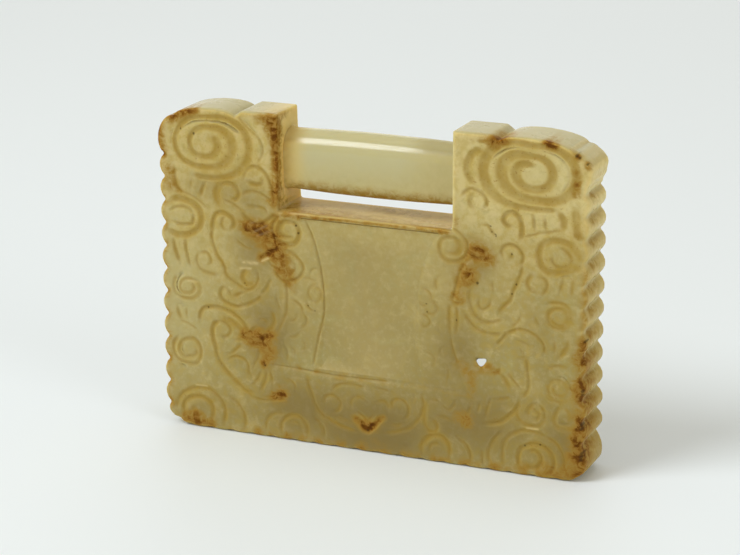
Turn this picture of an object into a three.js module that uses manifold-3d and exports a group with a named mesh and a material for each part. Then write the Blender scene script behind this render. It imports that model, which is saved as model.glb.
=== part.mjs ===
// A padlock-shaped belt buckle carved from one piece of jade: a carved plaque with two
// shoulders, and a barrel-shaped bar between them that leaves a slot for the strap.
// Millimetres, +Z up, the carved front faces -Y. The origin is at the bottom, in the middle
// of the outline and of the thickness.
import * as THREE from 'three';
import { mergeVertices, toCreasedNormals } from 'three/addons/utils/BufferGeometryUtils.js';
import Module from 'manifold-3d';

// Whole plaque
const plaqueWidth = 72.2;          // over the crowns of the side scallops
const plaqueHeight = 54.5;
const plaqueThickness = 9.5;
const shoulderTopThickness = 8.4;  // the back leans in above the slot floor
const edgeRounding = 0.35;         // worn edge all round the front and the back
const edgeRoundingSteps = 2;
const cutOverrun = 1;              // every cut runs this far past what it cuts
const creaseAngle = Math.PI / 5;   // sharper edges than this are shaded as creases

// Strap slot
const slotFloorHeight = 38.8;
const slotLength = 29.7;
const slotOffset = -0.45;          // the slot sits a little left of the middle
const slotGap = 2.6;               // strap room between the slot floor and the bar

// Bar
const barHeight = 10.2;            // at mid-length
const barEndHeight = 9.6;          // before the ends flare into the shoulders
const barDepth = 5.4;
const barSetback = 2.3;            // from the front of the plaque to the front of the bar
const barEdgeRadius = 2;
const barFlare = 0.4;              // how far the ends spread where they meet the shoulders
const barFlareLength = 1.3;
const barSteps = 30;
const cornerSteps = 4;

// Scalloped edges, cut by hand, so the two sides don't match
const leftScallops = 11;
const rightScallops = 11;
const sideScallopDepth = 0.7;
const leftScallopsBottom = 3.7;    // height of the lowest cusp on each side
const rightScallopsBottom = 6.1;
const bottomScallops = 17;
const bottomScallopDepth = 0.25;
const bottomScallopsInset = 4.2;   // from the side to the first cusp of the bottom edge
const scallopSteps = 5;            // an odd count leaves a flat facet on each crown

// Bottom corners: a small lobe between two notches on the left, a plain round one on the right
const leftNotchInset = 2.2;
const leftNotchHeight = 1.15;
const leftLobeRise = 1;
const leftFootRise = 0.35;
const rightCornerRadius = 2.4;
const rightLobeRise = 0.25;

// Rounded lobes along the top, with the notches between them
const cornerLobeRise = 1.95;       // the top corner lobes stand a little wider than the plaque
const cornerLobeDrop = 8.1;        // from the top of the plaque down to the lobe's lower cusp
const cornerNotchInset = 2.4;
const cornerNotchDrop = 1.8;
const cloudLobeRise = 1.35;
const cloudNotchDrop = 1;
const shoulderTopLength = 6.2;     // flat top beside the slot
const shoulderTopRun = 1.3;        // slope from the flat top down to the notch of the cloud lobe
const lobeSteps = 12;

// Smooth hourglass panel, with a shallower carved crescent on each side of it
const panelLip = 0.8;              // rim left between the panel and the slot floor
const panelBottom = 12.4;
const panelDepth = 0.9;
const panelTopWidth = 24;
const panelWaist = 16;
const panelBottomWidth = 18.4;
const crescentDepth = 0.45;
const crescentTopWidth = 35;
const crescentWaist = 28.7;
const crescentBottomWidth = 34.6;
const waistHeight = 23.5;
const panelOffset = 0.4;           // the panel sits a little right of the middle
const archSteps = 14;

// Shoulder volutes: oval spiral grooves, wider than they are tall
const voluteWidth = 1.4;
const voluteDepth = 0.6;
const leftVoluteInset = 8.5;       // from the side of the plaque to the eye
const leftVoluteDrop = 6.1;        // from the top of the plaque to the eye
const leftVoluteReach = 1.8;       // sideways from the eye to the start
const leftVoluteRise = 1.6;        // and upwards
const leftVoluteTurns = 2.3;
const rightVoluteInset = 8.7;
const rightVoluteDrop = 5.7;
const rightVoluteReach = 1.5;
const rightVoluteRise = 1.4;
const rightVoluteTurns = 2.5;
const volutePitch = 2.8;           // sideways from one turn to the next
const voluteUprightPitch = 1.62;
const voluteStepsPerTurn = 20;

// Other grooves, cut with a V tool
const grooveWidth = 1;
const grooveDepth = 0.45;
const grooveOvercut = 0.05;        // a groove's walls keep their slope this far above the face
const grooveStep = 1.1;            // length of one facet along a groove
const grooveRunOutShare = 0.25;    // of its width and depth that a groove has left at its ends
const scrollRadius = 3;
const scrollStepsPerTurn = 14;

// Small piercing through the ground beside one bat, drilled askew
const piercingRight = 19.5;        // from the middle of the plaque, at the front
const piercingHeight = 17.9;
const piercingWidth = 2.2;
const piercingTall = 1.8;
const piercingShift = 3.6;         // its back end lies this far to the left, and as far down

const wasm = await Module();
wasm.setup();

const jade = (color) => new THREE.MeshStandardMaterial({ color, roughness: 0.28, metalness: 0 });
const paleJade = jade(0xc9bd8a);
const oliveJade = jade(0xa8995c);

function toSolid(geometry) {
  const bare = geometry.clone();
  bare.deleteAttribute('normal');
  bare.deleteAttribute('uv');
  const merged = mergeVertices(bare);
  return new wasm.Manifold(new wasm.Mesh({
    numProp: 3,
    vertProperties: new Float32Array(merged.attributes.position.array),
    triVerts: new Uint32Array(merged.index.array),
  }));
}

function toGeometry(solid) {
  const { vertProperties, triVerts, numProp } = solid.getMesh();
  const geometry = new THREE.BufferGeometry();
  geometry.setAttribute('position', new THREE.BufferAttribute(vertProperties, numProp));
  geometry.setIndex(new THREE.BufferAttribute(triVerts, 1));
  return toCreasedNormals(geometry, creaseAngle);
}

function boxBetween(low, high) {
  const size = high.clone().sub(low);
  const middle = low.clone().add(high).multiplyScalar(0.5);
  return toSolid(new THREE.BoxGeometry(size.x, size.y, size.z).translate(middle.x, middle.y, middle.z));
}

const point = (x, z) => new THREE.Vector2(x, z);

// Bulge from one point to another, to the right of the line between them. The shape gives
// how far along (-1 to 1) and how far out (0 to 1) the point at each share of the way is.
// The first point is left out, so that bulges can follow one another.
function bulge(from, to, rise, steps, shape) {
  const half = to.clone().sub(from).multiplyScalar(0.5);
  const out = point(half.y, -half.x).setLength(rise);
  const middle = from.clone().add(half);
  return Array.from({ length: steps }, (_, i) => {
    const [along, up] = shape((i + 1) / steps, rise / half.length());
    return middle.clone().addScaledVector(half, along).addScaledVector(out, up);
  });
}

const ellipse = (share) => [-Math.cos(Math.PI * share), Math.sin(Math.PI * share)];

// Shallow circular arc, its slope the rise over half the chord.
const arc = (share, slope) => {
  const reach = 2 * Math.atan(slope);
  const angle = (2 * share - 1) * reach;
  return [Math.sin(angle) / Math.sin(reach), (Math.cos(angle) - Math.cos(reach)) / (1 - Math.cos(reach))];
};

// A run of equal scallops along a straight line of cusps.
function scallops(from, to, count, rise) {
  const cusp = (i) => from.clone().lerp(to, i / count);
  const one = (_, i) => bulge(cusp(i), cusp(i + 1), rise, scallopSteps, arc);
  return Array.from({ length: count }, one).flat();
}

const halfWidth = plaqueWidth / 2;
const frontFace = -plaqueThickness / 2;
const backFace = plaqueThickness / 2;
const slotLeft = slotOffset - slotLength / 2;
const slotRight = slotOffset + slotLength / 2;
const panelTop = slotFloorHeight - panelLip;

function notchedCorner(bottomCusp, firstCusp) {
  const notch = point(halfWidth - leftNotchInset, leftNotchHeight);
  return [
    ...bulge(bottomCusp, notch, leftFootRise, scallopSteps, arc),
    ...bulge(notch, firstCusp, leftLobeRise, lobeSteps, arc),
  ];
}

function roundCorner(bottomCusp, firstCusp) {
  const centre = point(halfWidth - rightCornerRadius, rightCornerRadius);
  const quarter = Array.from({ length: lobeSteps + 1 }, (_, i) => {
    const angle = (i / lobeSteps - 1) * Math.PI / 2;
    return point(Math.cos(angle), Math.sin(angle)).multiplyScalar(rightCornerRadius).add(centre);
  });
  return [...quarter, ...bulge(quarter.at(-1), firstCusp, rightLobeRise, scallopSteps, arc)];
}

// One edge of the outline, from the bottom scallops to the shoulder's flat top, drawn on the right.
function sideEdge(count, lowestCusp, slotEdge, corner) {
  const bottomCusp = point(halfWidth - bottomScallopsInset, bottomScallopDepth);
  const firstCusp = point(halfWidth - sideScallopDepth, lowestCusp);
  const lastCusp = point(halfWidth - sideScallopDepth, plaqueHeight - cornerLobeDrop);
  const cornerNotch = point(halfWidth - cornerNotchInset, plaqueHeight - cornerNotchDrop);
  const flatTopEnd = point(slotEdge + shoulderTopLength, plaqueHeight);
  const cloudNotch = point(flatTopEnd.x + shoulderTopRun, plaqueHeight - cloudNotchDrop);
  return [
    bottomCusp,
    ...corner(bottomCusp, firstCusp),
    ...scallops(firstCusp, lastCusp, count, sideScallopDepth),
    ...bulge(lastCusp, cornerNotch, cornerLobeRise, lobeSteps, ellipse),
    ...bulge(cornerNotch, cloudNotch, cloudLobeRise, lobeSteps, ellipse),
    flatTopEnd,
  ];
}

function plaqueOutline() {
  const right = sideEdge(rightScallops, rightScallopsBottom, slotRight, roundCorner);
  const left = sideEdge(leftScallops, leftScallopsBottom, -slotLeft, notchedCorner)
    .map((p) => point(-p.x, p.y))
    .reverse();
  const bottom = scallops(left.at(-1), right[0], bottomScallops, bottomScallopDepth);
  return [
    ...bottom.slice(0, -1),
    ...right,
    point(slotRight, plaqueHeight),
    point(slotRight, slotFloorHeight),
    point(slotLeft, slotFloorHeight),
    point(slotLeft, plaqueHeight),
    ...left,
  ];
}

// An outline drawn in X and Z, pushed back along +Y from a given front.
function slab(outline, front, depth, rounding = 0) {
  const geometry = new THREE.ExtrudeGeometry(new THREE.Shape(outline), {
    depth: depth - 2 * rounding,
    bevelEnabled: rounding > 0,
    bevelThickness: rounding,
    bevelSize: rounding,
    bevelOffset: -rounding,
    bevelSegments: edgeRoundingSteps,
  });
  return geometry.rotateX(Math.PI / 2).translate(0, front + depth - rounding, 0);
}

// Above the slot floor the back leans in towards the top.
function leanBack(geometry) {
  const lean = (plaqueThickness - shoulderTopThickness) / (plaqueHeight - slotFloorHeight);
  const place = geometry.attributes.position;
  for (let i = 0; i < place.count; i += 1) {
    const above = Math.max(0, place.getZ(i) - slotFloorHeight);
    if (place.getY(i) > 0) place.setY(i, place.getY(i) - lean * above);
  }
  return geometry;
}

// Hourglass below the slot, drawn in to a waist by one curve on each side.
function hourglass(topWidth, waist, bottomWidth) {
  const widthAt = (z) => {
    const end = z > waistHeight ? topWidth : bottomWidth;
    const reach = z > waistHeight ? panelTop - waistHeight : waistHeight - panelBottom;
    return waist + (end - waist) * ((z - waistHeight) / reach) ** 2;
  };
  const side = Array.from({ length: archSteps + 1 }, (_, i) => {
    const z = THREE.MathUtils.lerp(panelBottom, panelTop, i / archSteps);
    return point(widthAt(z) / 2, z);
  });
  const mirrored = side.map((p) => point(-p.x, p.y)).reverse();
  return [...side, ...mirrored].map((p) => point(p.x + panelOffset, p.y));
}

function pocket(outline, depth) {
  return toSolid(slab(outline, frontFace - cutOverrun, depth + cutOverrun));
}

// A heart-shaped hole that slants to the left and down on its way to the back.
function piercing() {
  const top = piercingHeight + piercingTall / 2;
  const heart = [
    point(piercingRight, top - piercingTall / 4),
    point(piercingRight - piercingWidth / 2, top),
    point(piercingRight, top - piercingTall),
    point(piercingRight + piercingWidth / 2, top),
  ];
  const geometry = slab(heart, frontFace - cutOverrun, plaqueThickness + 2 * cutOverrun);
  const place = geometry.attributes.position;
  for (let i = 0; i < place.count; i += 1) {
    const shift = piercingShift * (place.getY(i) - frontFace) / plaqueThickness;
    place.setX(i, place.getX(i) - shift);
    place.setZ(i, place.getZ(i) - shift);
  }
  return toSolid(geometry);
}

// The cutter for a V groove along a path on a face. Its ends run out to next to nothing.
function groove(path, width, depth, face) {
  const corners = path.flatMap((place, i) => {
    const before = path[Math.max(i - 1, 0)];
    const after = path[Math.min(i + 1, path.length - 1)];
    const atEnd = i === 0 || i === path.length - 1;
    const tip = depth * (atEnd ? grooveRunOutShare : 1);
    const spread = (tip + grooveOvercut) * width / (2 * depth);
    const out = point(after.y - before.y, before.x - after.x).setLength(spread);
    const right = place.clone().add(out);
    const left = place.clone().sub(out);
    return [
      [left.x, face - cutOverrun, left.y],
      [left.x, face - grooveOvercut, left.y],
      [place.x, face + tip, place.y],
      [right.x, face - grooveOvercut, right.y],
      [right.x, face - cutOverrun, right.y],
    ];
  });
  const ring = corners.length / path.length;
  const sides = Array.from({ length: corners.length - ring }, (_, i) => {
    const next = i % ring === ring - 1 ? i + 1 - ring : i + 1;
    return [i, i + ring, next, next, i + ring, next + ring];
  });
  const last = corners.length - ring;
  const caps = Array.from({ length: ring - 2 }, (_, i) => [
    0, i + 1, i + 2,
    last, last + i + 2, last + i + 1,
  ]);
  const geometry = new THREE.BufferGeometry();
  geometry.setAttribute('position', new THREE.Float32BufferAttribute(corners.flat(), 3));
  geometry.setIndex([...sides.flat(), ...caps.flat()]);
  return toSolid(geometry);
}

// Spiral about an eye, from a start in turns, to the left for a positive count of turns.
function spiral(eye, reach, start, turns, stepsPerTurn) {
  const steps = Math.ceil(Math.abs(turns) * stepsPerTurn);
  return Array.from({ length: steps + 1 }, (_, i) => {
    const gone = turns * i / steps;
    const angle = 2 * Math.PI * (start + gone);
    const [across, up] = reach(Math.abs(gone));
    return point(eye.x + across * Math.cos(angle), eye.y + up * Math.sin(angle));
  });
}

function volute(eye, firstReach, firstRise, start, turns) {
  const reach = (gone) => [firstReach + volutePitch * gone, firstRise + voluteUprightPitch * gone];
  return groove(spiral(eye, reach, start, turns, voluteStepsPerTurn), voluteWidth, voluteDepth, frontFace);
}

// The smaller motifs are laid out in 72nds of the plaque's width and 54ths of its height.
const atShares = (across, up) => point((across / 72 - 1 / 2) * plaqueWidth, up / 54 * plaqueHeight);

// Scrolls: the eye's place, the first and the last radius as shares of the scroll radius, where
// round the eye the scroll starts, and how far it turns, a minus meaning to the right.
const scrollShares = [
  [4, 35.7, 1, 1, 0.61, 0.75],
  [3.7, 35.9, 0.53, 0.53, 0.05, -0.5],
  [4.3, 23.9, 0.35, 1.1, 0.25, -1.6],
  [4.7, 13.2, 0.35, 1.1, 0.1, -1.5],
  [5.7, 2.7, 0.9, 0.9, 0.53, -0.56],
  [6.1, 2.6, 1.5, 1.5, 0.49, -0.5],
  [6, 2, 2.75, 2.75, 0.105, -0.11],
  [23.2, 2, 0.8, 0.8, 0.53, -0.56],
  [23.2, 1, 1.7, 1.7, 0.48, -0.12],
  [23.4, 1, 1.7, 1.7, 0.13, -0.12],
  [47.8, 2.1, 0.82, 0.82, 0.55, -0.6],
  [47.8, 1, 2, 2, 0.125, -0.12],
  [64.3, 3, 0.42, 0.45, 0.35, -0.85],
  [64.7, 2.8, 0.98, 0.98, 0.57, -0.66],
  [64.4, 2.6, 1.7, 1.7, 0.54, -0.57],
  [64.5, 2.2, 2.5, 2.5, 0.52, -0.14],
  [65, 2.4, 2.2, 2.2, 0.13, -0.08],
  [68.2, 14.9, 0.3, 0.95, 0.25, 1.5],
  [68.2, 26.4, 0.4, 1.05, 0.25, 1.5],
  [68, 36, 1, 0.95, 0.93, -0.93],
  [68.3, 35.9, 0.5, 0.5, 0.28, -0.8],
  [63.9, 10.3, 0.35, 0.7, 0.3, 1.1],
  [69.1, 10.7, 0.4, 0.55, 0.2, -1],
  [16.9, 43.1, 0.7, 0.7, 0.5, -0.6],
  [54.1, 43.3, 0.7, 0.6, 0.47, -0.62],
  [12.3, 40.8, 0.47, 0.47, 0.42, -0.7],
  [60.4, 40.9, 0.45, 0.5, 0.7, -1.1],
];

// The same for the scrolls at the top of the crescents, which start from the crescents' own ground.
const crescentScrollShares = [
  [22.5, 35.4, 0.4, 0.9, 0.75, -1.3],
  [50.2, 35.7, 0.4, 0.9, 0.75, 1.3],
  [22.6, 29.5, 0.8, 0.75, 0.3, -0.6],
];

// Outlines of the bats' wings and of the motif under the panel, as points that a curve runs through.
const outlineShares = [
  [[12.3, 34.6], [12.7, 36], [11, 37.1], [9.3, 36.3], [8.9, 33.5], [9.5, 30.7], [11, 28.1], [14.6, 24.8]],
  [[14.6, 24.8], [16.6, 25.7], [16.9, 28]],
  [[11.5, 24.4], [10.2, 23.4], [11.2, 22.1], [13.5, 21.7], [16, 22.7], [18.2, 25], [19.3, 27.2]],
  [[6.4, 18.4], [6.8, 20.5], [9.5, 21.2], [12.4, 20.5], [15.1, 17.8]],
  [[11.8, 17.7], [10.9, 18.7], [9.2, 18.4], [8.6, 16.6], [9.3, 13.2], [11.2, 10.1], [15.9, 7.1]],
  [[15.9, 7.1], [18.6, 6.4], [21.6, 7.1]],
  [[14.2, 37.6], [16.3, 36], [18.6, 36.5], [20.1, 37.7]],
  [[14.2, 35], [16.4, 34.4], [19.4, 33.9]],
  [[17.2, 30.1], [19.4, 31.6], [20.9, 32.3]],
  [[11.2, 12.4], [13.4, 13.2], [15, 11.8], [15.7, 10]],
  [[13.3, 17], [14.9, 17.3], [16.7, 18.6]],
  [[17.2, 16.2], [18.2, 17.4], [19.6, 17.4]],
  [[58.7, 35.6], [60.2, 37.1], [62, 35.7], [61.8, 33], [60.9, 30.7], [60, 28.2], [58.3, 25.8]],
  [[53.6, 29.5], [53.8, 26.2], [56, 24.3], [58.8, 25]],
  [[52.6, 25.4], [55.2, 22.9], [58.8, 22.7]],
  [[57.8, 20.7], [59.7, 22.9], [62.2, 23.9], [64.8, 22.9], [65.8, 20.7]],
  [[63, 19.6], [63.3, 15.5], [62.1, 12.7], [60.4, 9.7], [57.8, 8], [54, 7.6]],
  [[58.8, 16.2], [60.3, 13.9]],
  [[56.3, 8.9], [57.2, 11.9], [60.4, 12.7]],
  [[55.3, 51.5], [53.3, 50.1], [52.9, 48], [53.9, 46.4]],
  [[14, 53], [17, 50.5], [18.2, 48.3], [17.3, 45.9]],
  [[1.9, 32], [2, 30.7], [2.9, 28.1]],
  [[4.1, 32.1], [4, 30.7], [4.8, 27.7]],
  [[68.7, 32.7], [68, 30]],
  [[70.4, 33.1], [70, 29.9]],
  [[69.7, 23], [69, 21], [68.2, 20]],
  [[3.9, 39.9], [2.6, 41.4], [2.3, 44.2]],
  [[7.9, 41.8], [7, 39.4]],
  [[63.6, 42.3], [63.9, 39.8]],
  [[65.4, 42], [65.7, 40.1]],
  [[71.2, 39.2], [70.5, 41.2], [70.3, 43.8]],
  [[25.5, 11.3], [26.6, 7.9], [28.4, 5.1], [31, 4], [34.2, 3.3]],
  [[45.3, 11.2], [45.4, 7.4], [43.4, 5.2], [40.7, 4.1], [38.6, 3.7]],
  [[33.5, 5.7], [34.9, 5], [36, 3.6], [37.6, 5.2], [39.1, 6.2]],
  [[28.4, 6.9], [29.5, 8.8], [31.3, 8], [30.2, 6]],
  [[42.6, 6.5], [43, 8.8], [41.2, 9.7], [40.4, 8.4]],
  [[46.4, 9.9], [46, 7.1], [47, 5.2], [48.2, 6], [47.2, 7.2]],
];

function scroll([across, up, firstShare, lastShare, start, turns], face) {
  const reach = (gone) => {
    const radius = scrollRadius * THREE.MathUtils.lerp(firstShare, lastShare, gone / Math.abs(turns));
    return [radius, radius];
  };
  const path = spiral(atShares(across, up), reach, start, turns, scrollStepsPerTurn);
  return groove(path, grooveWidth, grooveDepth, face);
}

function outlineGroove(shares) {
  const curve = new THREE.SplineCurve(shares.map(([across, up]) => atShares(across, up)));
  const steps = Math.ceil(curve.getLength() / grooveStep) + 1;
  return groove(curve.getSpacedPoints(steps), grooveWidth, grooveDepth, frontFace);
}

function carving() {
  const leftEye = point(leftVoluteInset - halfWidth, plaqueHeight - leftVoluteDrop);
  const rightEye = point(halfWidth - rightVoluteInset, plaqueHeight - rightVoluteDrop);
  return wasm.Manifold.union([
    volute(leftEye, leftVoluteReach, leftVoluteRise, 0, -leftVoluteTurns),
    volute(rightEye, rightVoluteReach, rightVoluteRise, 1 / 4, rightVoluteTurns),
    ...scrollShares.map((shares) => scroll(shares, frontFace)),
    ...crescentScrollShares.map((shares) => scroll(shares, frontFace + crescentDepth)),
    ...outlineShares.map(outlineGroove),
  ]);
}

function plaqueSolid() {
  const outline = leanBack(slab(plaqueOutline(), frontFace, plaqueThickness, edgeRounding));
  return toSolid(outline)
    .subtract(pocket(hourglass(crescentTopWidth, crescentWaist, crescentBottomWidth), crescentDepth))
    .subtract(pocket(hourglass(panelTopWidth, panelWaist, panelBottomWidth), panelDepth))
    .subtract(carving())
    .subtract(piercing());
}

// Everything above the slot floor between two sides.
function aboveSlotFloor(left, right) {
  return boxBetween(
    new THREE.Vector3(left, frontFace - cutOverrun, slotFloorHeight),
    new THREE.Vector3(right, backFace + cutOverrun, plaqueHeight + cutOverrun),
  );
}

function roundedRectangle(width, height, radius) {
  const corners = [[1, -1], [1, 1], [-1, 1], [-1, -1]];
  return corners.flatMap(([sx, sz], quarter) => Array.from({ length: cornerSteps + 1 }, (_, i) => {
    const angle = (quarter - 1 + i / cornerSteps) * Math.PI / 2;
    return point(
      sx * (width / 2 - radius) + radius * Math.cos(angle),
      sz * (height / 2 - radius) + radius * Math.sin(angle),
    );
  }));
}

// The bar swells towards mid-length, and its ends flare into the shoulders like a fillet.
function strapBar() {
  const section = new THREE.Shape(roundedRectangle(barDepth, barHeight, barEdgeRadius));
  const geometry = new THREE.ExtrudeGeometry(section, {
    depth: slotLength, steps: barSteps, bevelEnabled: false,
  });
  const place = geometry.attributes.position;
  for (let i = 0; i < place.count; i += 1) {
    const along = place.getZ(i);
    const fromMiddle = Math.abs(2 * along / slotLength - 1);
    const fromEnd = (slotLength / 2) * (1 - fromMiddle);
    const taper = (barHeight - barEndHeight) / 2 * fromMiddle ** 2;
    const into = THREE.MathUtils.clamp(1 - fromEnd / barFlareLength, 0, 1);
    const flare = barFlare * (1 - Math.sqrt(1 - into ** 2));
    const size = 1 + 2 * (flare - taper) / barHeight;
    place.setXYZ(i, along, place.getX(i) * size, place.getY(i) * size);
  }
  return geometry;
}

function named(name, geometry, material) {
  const mesh = new THREE.Mesh(geometry, material);
  mesh.name = name;
  return mesh;
}

const plaque = plaqueSolid();
const reach = halfWidth + cornerLobeRise + cutOverrun;

const bar = named('strap_bar', strapBar(), paleJade);
bar.position.set(
  slotLeft,
  frontFace + barSetback + barDepth / 2,
  slotFloorHeight + slotGap + barHeight / 2,
);

const buckle = new THREE.Group();
buckle.add(
  named('plaque_body', toGeometry(plaque.subtract(aboveSlotFloor(-reach, reach))), oliveJade),
  named('left_shoulder', toGeometry(plaque.intersect(aboveSlotFloor(-reach, slotOffset))), paleJade),
  named('right_shoulder', toGeometry(plaque.intersect(aboveSlotFloor(slotOffset, reach))), paleJade),
  bar,
);

export default buckle;
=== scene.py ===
import math

import bpy
import numpy as np
from mathutils import Matrix, Vector


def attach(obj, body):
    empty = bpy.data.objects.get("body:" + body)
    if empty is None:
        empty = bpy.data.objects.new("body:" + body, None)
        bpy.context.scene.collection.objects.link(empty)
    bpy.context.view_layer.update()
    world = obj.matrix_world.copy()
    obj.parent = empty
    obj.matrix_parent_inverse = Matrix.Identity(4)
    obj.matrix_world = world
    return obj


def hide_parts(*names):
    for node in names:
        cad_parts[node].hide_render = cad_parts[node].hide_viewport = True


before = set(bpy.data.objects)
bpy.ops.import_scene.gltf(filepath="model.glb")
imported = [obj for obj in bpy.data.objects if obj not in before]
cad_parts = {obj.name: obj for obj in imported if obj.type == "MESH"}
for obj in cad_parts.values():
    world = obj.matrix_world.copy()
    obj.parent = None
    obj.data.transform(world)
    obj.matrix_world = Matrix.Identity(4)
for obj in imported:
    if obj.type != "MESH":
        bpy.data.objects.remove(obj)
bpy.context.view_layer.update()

mm = 0.001

# Camera, where the photograph was taken from

shot = {
    "position": (140.12, -332.07, 138.13),
    "target": (0.69, -4.75, 29.56),
    "roll": -0.22,  # degrees
    "lens": 114.69,
    "sensorWidth": 36.0,
}


def deselectAll():
    if bpy.context.object and bpy.context.object.mode != "OBJECT":
        bpy.ops.object.mode_set(mode="OBJECT")
    bpy.ops.object.select_all(action="DESELECT")


def makeActive(piece):
    deselectAll()
    piece.select_set(True)
    bpy.context.view_layer.objects.active = piece


def aimed(position, target, roll=0.0):
    start, end = Vector(position) * mm, Vector(target) * mm
    turn = (end - start).to_track_quat("-Z", "Y").to_matrix().to_4x4()
    return Matrix.Translation(start) @ turn @ Matrix.Rotation(math.radians(roll), 4, "Z")


def placeCamera():
    deselectAll()
    bpy.ops.object.camera_add()
    camera = bpy.context.object
    camera.name = "photoCamera"
    camera.matrix_world = aimed(shot["position"], shot["target"], shot["roll"])
    camera.data.lens = shot["lens"]
    camera.data.sensor_width = shot["sensorWidth"]
    camera.data.clip_start = 0.01
    bpy.context.scene.camera = camera


placeCamera()
print("camera placed")

# Pale floor and soft studio light

studio = {
    "floorSize": 4.0,  # metres
    "floorColour": (0.84, 0.88, 0.87),
    "skyColour": (1.0, 0.95, 0.84),
    "skyStrength": 0.45,
    "lamps": {
        "key": {"at": (-476, -567, 770), "to": (0, 0, 20), "size": 540, "watts": 6.6},
        "front": {"at": (-100, -850, 380), "to": (0, 0, 28), "size": 700, "watts": 0.3},
        "overhead": {"at": (-60, 100, 1100), "to": (0, 0, 30), "size": 700, "watts": 0.95},
        "backdrop": {"at": (-200, 1000, 260), "to": (0, 0, 40), "size": 1100, "watts": 2.5},
        "right": {"at": (700, -300, 320), "to": (0, 0, 28), "size": 400, "watts": 1.25},
    },
    "lampColour": (0.925, 0.97, 1.04),
}


def buildStudio():
    deselectAll()
    bpy.ops.mesh.primitive_plane_add(size=studio["floorSize"])
    floor = bpy.context.object
    floor.name = "paleFloor"
    paper = bpy.data.materials.new("palePaper")
    paper.use_nodes = True
    shader = paper.node_tree.nodes["Principled BSDF"]
    shader.inputs["Base Color"].default_value = (*studio["floorColour"], 1)
    shader.inputs["Roughness"].default_value = 0.6
    floor.data.materials.append(paper)
    world = bpy.data.worlds.new("studioSky")
    world.use_nodes = True
    sky = world.node_tree.nodes["Background"]
    sky.inputs["Color"].default_value = (*studio["skyColour"], 1)
    sky.inputs["Strength"].default_value = studio["skyStrength"]
    bpy.context.scene.world = world
    for name, lamp in studio["lamps"].items():
        deselectAll()
        bpy.ops.object.light_add(type="AREA")
        light = bpy.context.object
        light.name = name
        light.data.shape = "DISK"
        light.data.size = lamp["size"] * mm
        light.data.energy = lamp["watts"]
        light.data.color = studio["lampColour"]
        light.matrix_world = aimed(lamp["at"], lamp["to"])


buildStudio()
bpy.context.scene.view_settings.view_transform = "Standard"
print("studio lit")

# The stone: the CAD's four solids fused into the one body that they really are

stone = {
    "nodes": ("plaque_body", "left_shoulder", "right_shoulder", "strap_bar"),
    "voxel": 0.2,       # mm, fine enough for the narrowest groove
    "softening": 8,     # smoothing passes that wear the edges
    "mostTriangles": 196000,
    "sharpAngle": 0.85,  # radians; edges sharper than this are not shaded smooth
}


def copyOfNode(name):
    copy = bpy.data.objects.new("loose_" + name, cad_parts[name].data.copy())
    bpy.context.scene.collection.objects.link(copy)
    makeActive(copy)
    bpy.ops.object.mode_set(mode="EDIT")
    bpy.ops.mesh.select_all(action="SELECT")
    bpy.ops.mesh.remove_doubles(threshold=0.001 * mm)
    bpy.ops.object.mode_set(mode="OBJECT")
    return copy


def applyModifier(piece, kind, **settings):
    makeActive(piece)
    modifier = piece.modifiers.new(kind.lower(), kind)
    for key, value in settings.items():
        setattr(modifier, key, value)
    bpy.ops.object.modifier_apply(modifier=modifier.name)


def fuseStone():
    body, *others = [copyOfNode(name) for name in stone["nodes"]]
    for other in others:
        applyModifier(body, "BOOLEAN", object=other, operation="UNION", solver="EXACT")
        bpy.data.objects.remove(other)
    applyModifier(body, "REMESH", mode="VOXEL", voxel_size=stone["voxel"] * mm)
    applyModifier(body, "SMOOTH", factor=0.5, iterations=stone["softening"])
    body.name = "carved_jade"
    return body


carvedJade = fuseStone()
print("stone fused:", len(carvedJade.data.vertices), "vertices")

# Carving on the front. Places are in mm from the plaque's left side and from its bottom.

carving = {
    "halfWidth": 36.0,
    "front": -4.75,       # where the flat front lies in the frame
    "cell": 0.06,         # of the depth map that the cuts are drawn into
    "margin": 2.0,
    "height": 56.0,
    "step": 0.12,         # between two touches of the tool along a cut
    "spiralStep": 0.125,  # of a quarter turn
    "flare": 1.0,         # how far a cut's soft banks run out, as a share of its width
    "taper": 0.9,         # over which a cut runs out at its ends
    "endDepth": 0.35,     # share of the depth that is left there
    "softening": 2,
    "full": 1.1,          # the cuts keep their whole depth this far in from the front
    "fade": 2.2,          # and have none left here
    "deepest": 0.75,
    "worn": 0.5,          # share of the cuts' depth that wear has left
    "facing": (0.25, 0.6),   # how squarely a face looks to the front before it is carved
    "cutFrom": (0.01, 0.1),  # depth from which a place counts as cut
}

# Oval spirals. Reach and width of the groove at each quarter turn; turn is 1 to the left, -1 to the right

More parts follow.
